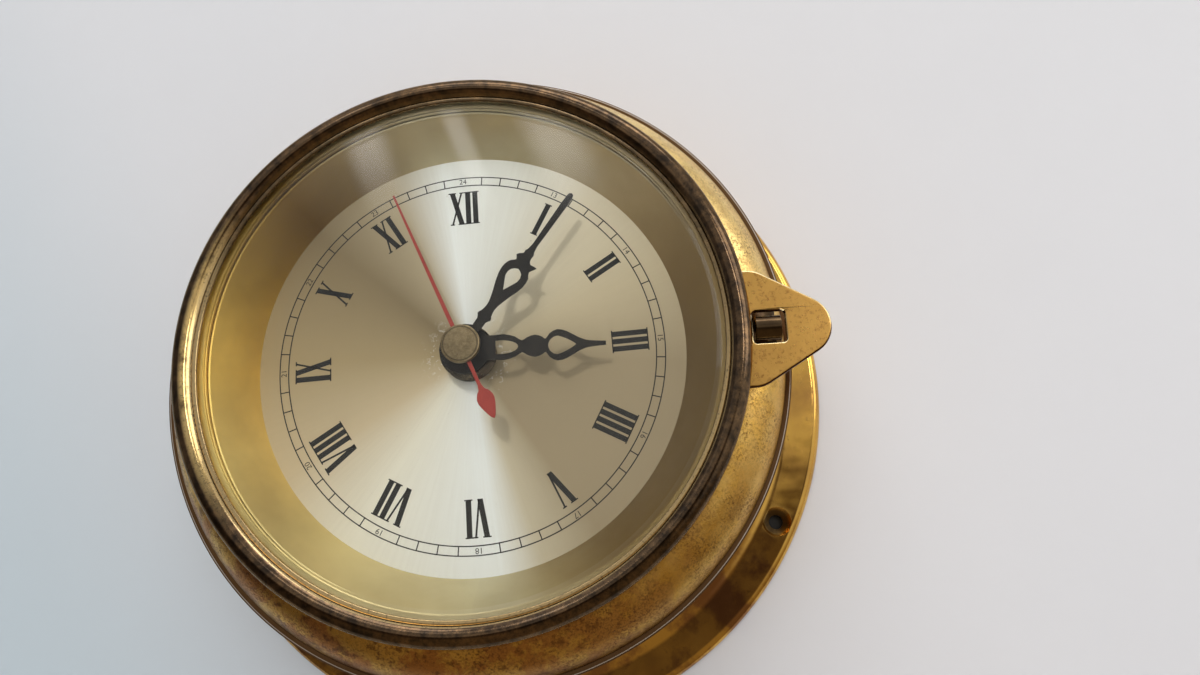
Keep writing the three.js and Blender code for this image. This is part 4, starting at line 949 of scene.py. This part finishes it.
def stage_material(name, tone, one_sided):
    """Pale laminate, with painted bluish shade towards the lower left. A one-sided plane can't be
    seen from behind, has painted shade beneath the flange, as the screw holes show it, and is open
    behind the clock, so that light reaches the clock's back."""
    p = Paint(name)
    colour = p.mix(p.noise(40, 4), tone, tuple(c * 0.97 for c in tone))
    x, _, z = p.axes()
    # Painted bluish shade towards the lower left.
    shade_side = p.math("MULTIPLY_ADD", x, -1.0, p.math("MULTIPLY", z, -0.6))
    colour = p.mix(p.range(shade_side, 0.03, 0.16, 0.0, 0.8), colour, (0.58, 0.67, 0.72))
    if one_sided:
        # Painted shade beneath the flange.
        shade_beneath = p.range(p.radius(), FLANGE_R - 2.0, FLANGE_R + 0.5, 1.0, 0.0)
        colour = p.mix(shade_beneath, colour, (0.01, 0.01, 0.01))
    shader = p.add("ShaderNodeBsdfPrincipled", {"Base Color": colour, "Roughness": 0.55})
    if not one_sided:
        return p.surface(shader)
    back = p.tree.nodes.new("ShaderNodeNewGeometry").outputs["Backfacing"]
    opening = p.math("LESS_THAN", p.radius(), BOARD_HOLE_R)
    clear = p.add("ShaderNodeBsdfTransparent")
    seen_through = p.math("MAXIMUM", back, opening)
    return p.surface(p.add("ShaderNodeMixShader", {0: seen_through, 1: shader, 2: clear}))


def sheet(name, corners, material):
    mesh = bpy.data.meshes.new(name)
    mesh.from_pydata(corners, [], [(0, 1, 2, 3)])
    mesh.materials.append(material)
    piece = bpy.data.objects.new(name, mesh)
    bpy.context.scene.collection.objects.link(piece)
    return piece


def stage():
    """A pale board right behind the clock and a pale floor below it."""
    low, high = cad_bounds
    reach = 1.6
    floor_gap = 0.03
    board_gap = 0.0004
    floor_z = low[2] - floor_gap
    board_y = high[1] + board_gap
    board = sheet("backboard", [(-reach, board_y, floor_z), (reach, board_y, floor_z),
                                (reach, board_y, reach), (-reach, board_y, reach)],
                  stage_material("board", (0.83, 0.825, 0.85), True))
    floor = sheet("floor", [(-reach, -reach, floor_z), (reach, -reach, floor_z),
                            (reach, reach, floor_z), (-reach, reach, floor_z)],
                  stage_material("floor", (0.80, 0.80, 0.79), False))
    floor.visible_glossy = False
    return board


def area_light(name, place, target, size, power, tone=(1, 1, 1)):
    light = bpy.data.lights.new(name, "AREA")
    light.shape = "RECTANGLE"
    light.size, light.size_y = size
    light.energy = power
    light.color = tone
    lamp = bpy.data.objects.new(name, light)
    lamp.location = place
    lamp.rotation_euler = (Vector(target) - Vector(place)).to_track_quat("-Z", "Y").to_euler()
    bpy.context.scene.collection.objects.link(lamp)
    return lamp


def toward(azimuth, elevation, distance):
    """A point that far from the clock; azimuth 0 is straight in front and positive is right."""
    turn_by, lift = math.radians(azimuth), math.radians(elevation)
    return Vector((distance * math.cos(lift) * math.sin(turn_by),
                   -0.04 - distance * math.cos(lift) * math.cos(turn_by),
                   distance * math.sin(lift)))


def soften_light(light):
    """Fades an area light out towards its edges."""
    light.use_nodes = True
    p = Paint("", light)
    spot = p.tree.nodes.new("ShaderNodeNewGeometry").outputs["Parametric"]
    node = p.tree.nodes.new("ShaderNodeSeparateXYZ")
    p.tree.links.new(spot, node.inputs[0])
    across = p.math("PINGPONG", node.outputs[0], 0.5)
    along = p.math("PINGPONG", node.outputs[1], 0.5)
    fade = p.math("MULTIPLY", p.range(across, 0.0, 0.4, 0.0, 2.0), p.range(along, 0.0, 0.4))
    glow = p.add("ShaderNodeEmission", {"Color": (1, 1, 1, 1), "Strength": fade})
    p.add("ShaderNodeOutputLight", {"Surface": glow})


def only_for(lamp, board, include):
    """Limits a light to the board, or keeps it off the board."""
    group = bpy.data.collections.new(lamp.name + "_receivers")
    group.objects.link(board)
    lamp.light_linking.receiver_collection = group
    group.collection_objects[0].light_linking.link_state = "INCLUDE" if include else "EXCLUDE"


def lights(board):
    """A small soft key, windows above and to the right, and three soft streaks for the glass. The
    board has its own broad light, so the clock throws no hard shadow on it."""
    centre = (0, -0.04, 0)
    key = area_light("key", toward(-6, 22, 1.0), centre, (0.08, 0.08), 3.4, (1.0, 0.99, 0.97))
    broad = area_light("broad", toward(0, 25, 1.0), centre, (1.0, 1.0), 4.0, (1.0, 0.99, 0.98))
    only_for(key, board, False)
    only_for(broad, board, True)
    for lamp in (key, broad):
        lamp.visible_glossy = False
        lamp.visible_transmission = False
    for name, azimuth, elevation, size, power in (("window_above", 20, 62, (0.8, 0.32), 2.2),
                                                  ("window_right", 60, 20, (0.5, 0.6), 1.8),
                                                  ("glint", 27, 18, (0.10, 0.3), 0.6)):
        window = area_light(name, toward(azimuth, elevation, 1.0), centre, size, power,
                            (1.0, 0.99, 0.97))
        window.visible_diffuse = False
    for azimuth, width, power in ((-20, 0.07, 0.16), (-12, 0.04, 0.07), (-4, 0.10, 0.20)):
        streak = area_light("streak", toward(azimuth, 33, 1.0), centre, (width, 0.34), power)
        streak.rotation_euler.rotate_axis("Z", math.radians(20))
        streak.visible_diffuse = False
        soften_light(streak.data)
    area_light("rear_fill", (0.3, 0.9, 0.5), centre, (0.9, 0.9), 8)


def room():
    """A room that is dark at eye level and to the left as the metal sees it, but plain and pale to
    the camera."""
    p = Paint("room", bpy.data.worlds.new("room"))
    bpy.context.scene.world = p.material
    p.place = p.add("ShaderNodeTexCoord", out="Generated")
    x, y, z = p.axes()
    height = p.math("MULTIPLY_ADD", z, 0.6, p.math("MULTIPLY_ADD", x, -0.1, 0.4))
    tone = p.ramp(height, (0.18, (0.42, 0.31, 0.18)), (0.32, (0.16, 0.115, 0.085)),
                  (0.40, (0.15, 0.11, 0.085)), (0.455, (1.0, 0.95, 0.86)),
                  (0.53, (0.9, 0.88, 0.84)), (0.64, (0.62, 0.63, 0.66)),
                  (0.70, (1.0, 1.02, 1.05)), (1.0, (1.5, 1.5, 1.52)))
    beside = p.math("MULTIPLY", p.range(x, 0.3, 0.6), p.range(z, -0.55, -0.1))
    tone = p.mix(beside, tone, (1.15, 1.12, 1.05))
    tone = p.mix(p.range(x, -0.66, -0.45, 0.7, 0.0), tone, (0.12, 0.10, 0.09))
    behind = p.range(y, -0.1, 0.25)
    tone = p.mix(behind, tone, (0.75, 0.75, 0.76))
    seen = p.tree.nodes.new("ShaderNodeLightPath").outputs["Is Camera Ray"]
    tone = p.mix(seen, tone, (1.2, 1.2, 1.22))
    glow = p.add("ShaderNodeBackground", {"Color": tone, "Strength": 0.62})
    p.add("ShaderNodeOutputWorld", {"Surface": glow})


def camera():
    """Stands below and right of the dial's axis, close, as a hand-held camera would."""
    heading, lift, roll = (math.radians(angle) for angle in (2.43, 15.56, -4.92))
    data = bpy.data.cameras.new("camera")
    data.sensor_width = 36.0
    data.lens = 25.95
    data.clip_start = 0.01
    view = bpy.data.objects.new("camera", data)
    view.location = (0.0326, -0.2067, -0.0443)
    view.rotation_euler = (Matrix.Rotation(heading, 3, "Z")
                           @ Matrix.Rotation(math.radians(90) + lift, 3, "X")
                           @ Matrix.Rotation(roll, 3, "Z")).to_euler()
    bpy.context.scene.collection.objects.link(view)
    bpy.context.scene.camera = view


back_shell()
front_shell()
inner_ring()
dial_plate()
minute_track()
numeral_ring()
small_numbers()
bezel_ring()
door_glass()
# The gasket is rubber but takes the cone's gold, as does the retaining ring: painted light where the
# glass's bevel would show the shade beneath the glass.
ring_from("glass_gasket", "glass_gasket_moulded", GASKET_IN_R, "cone_gold", "rubber_black")
ring_from("glass_retaining_ring", "glass_retaining_ring_turned", RETAINER_IN_R, "cone_gold",
          "satin_gold")
centre_nut()
second_cap()
rounded_pieces()
lights(stage())
room()
camera()

bpy.context.scene.view_settings.view_transform = "Standard"
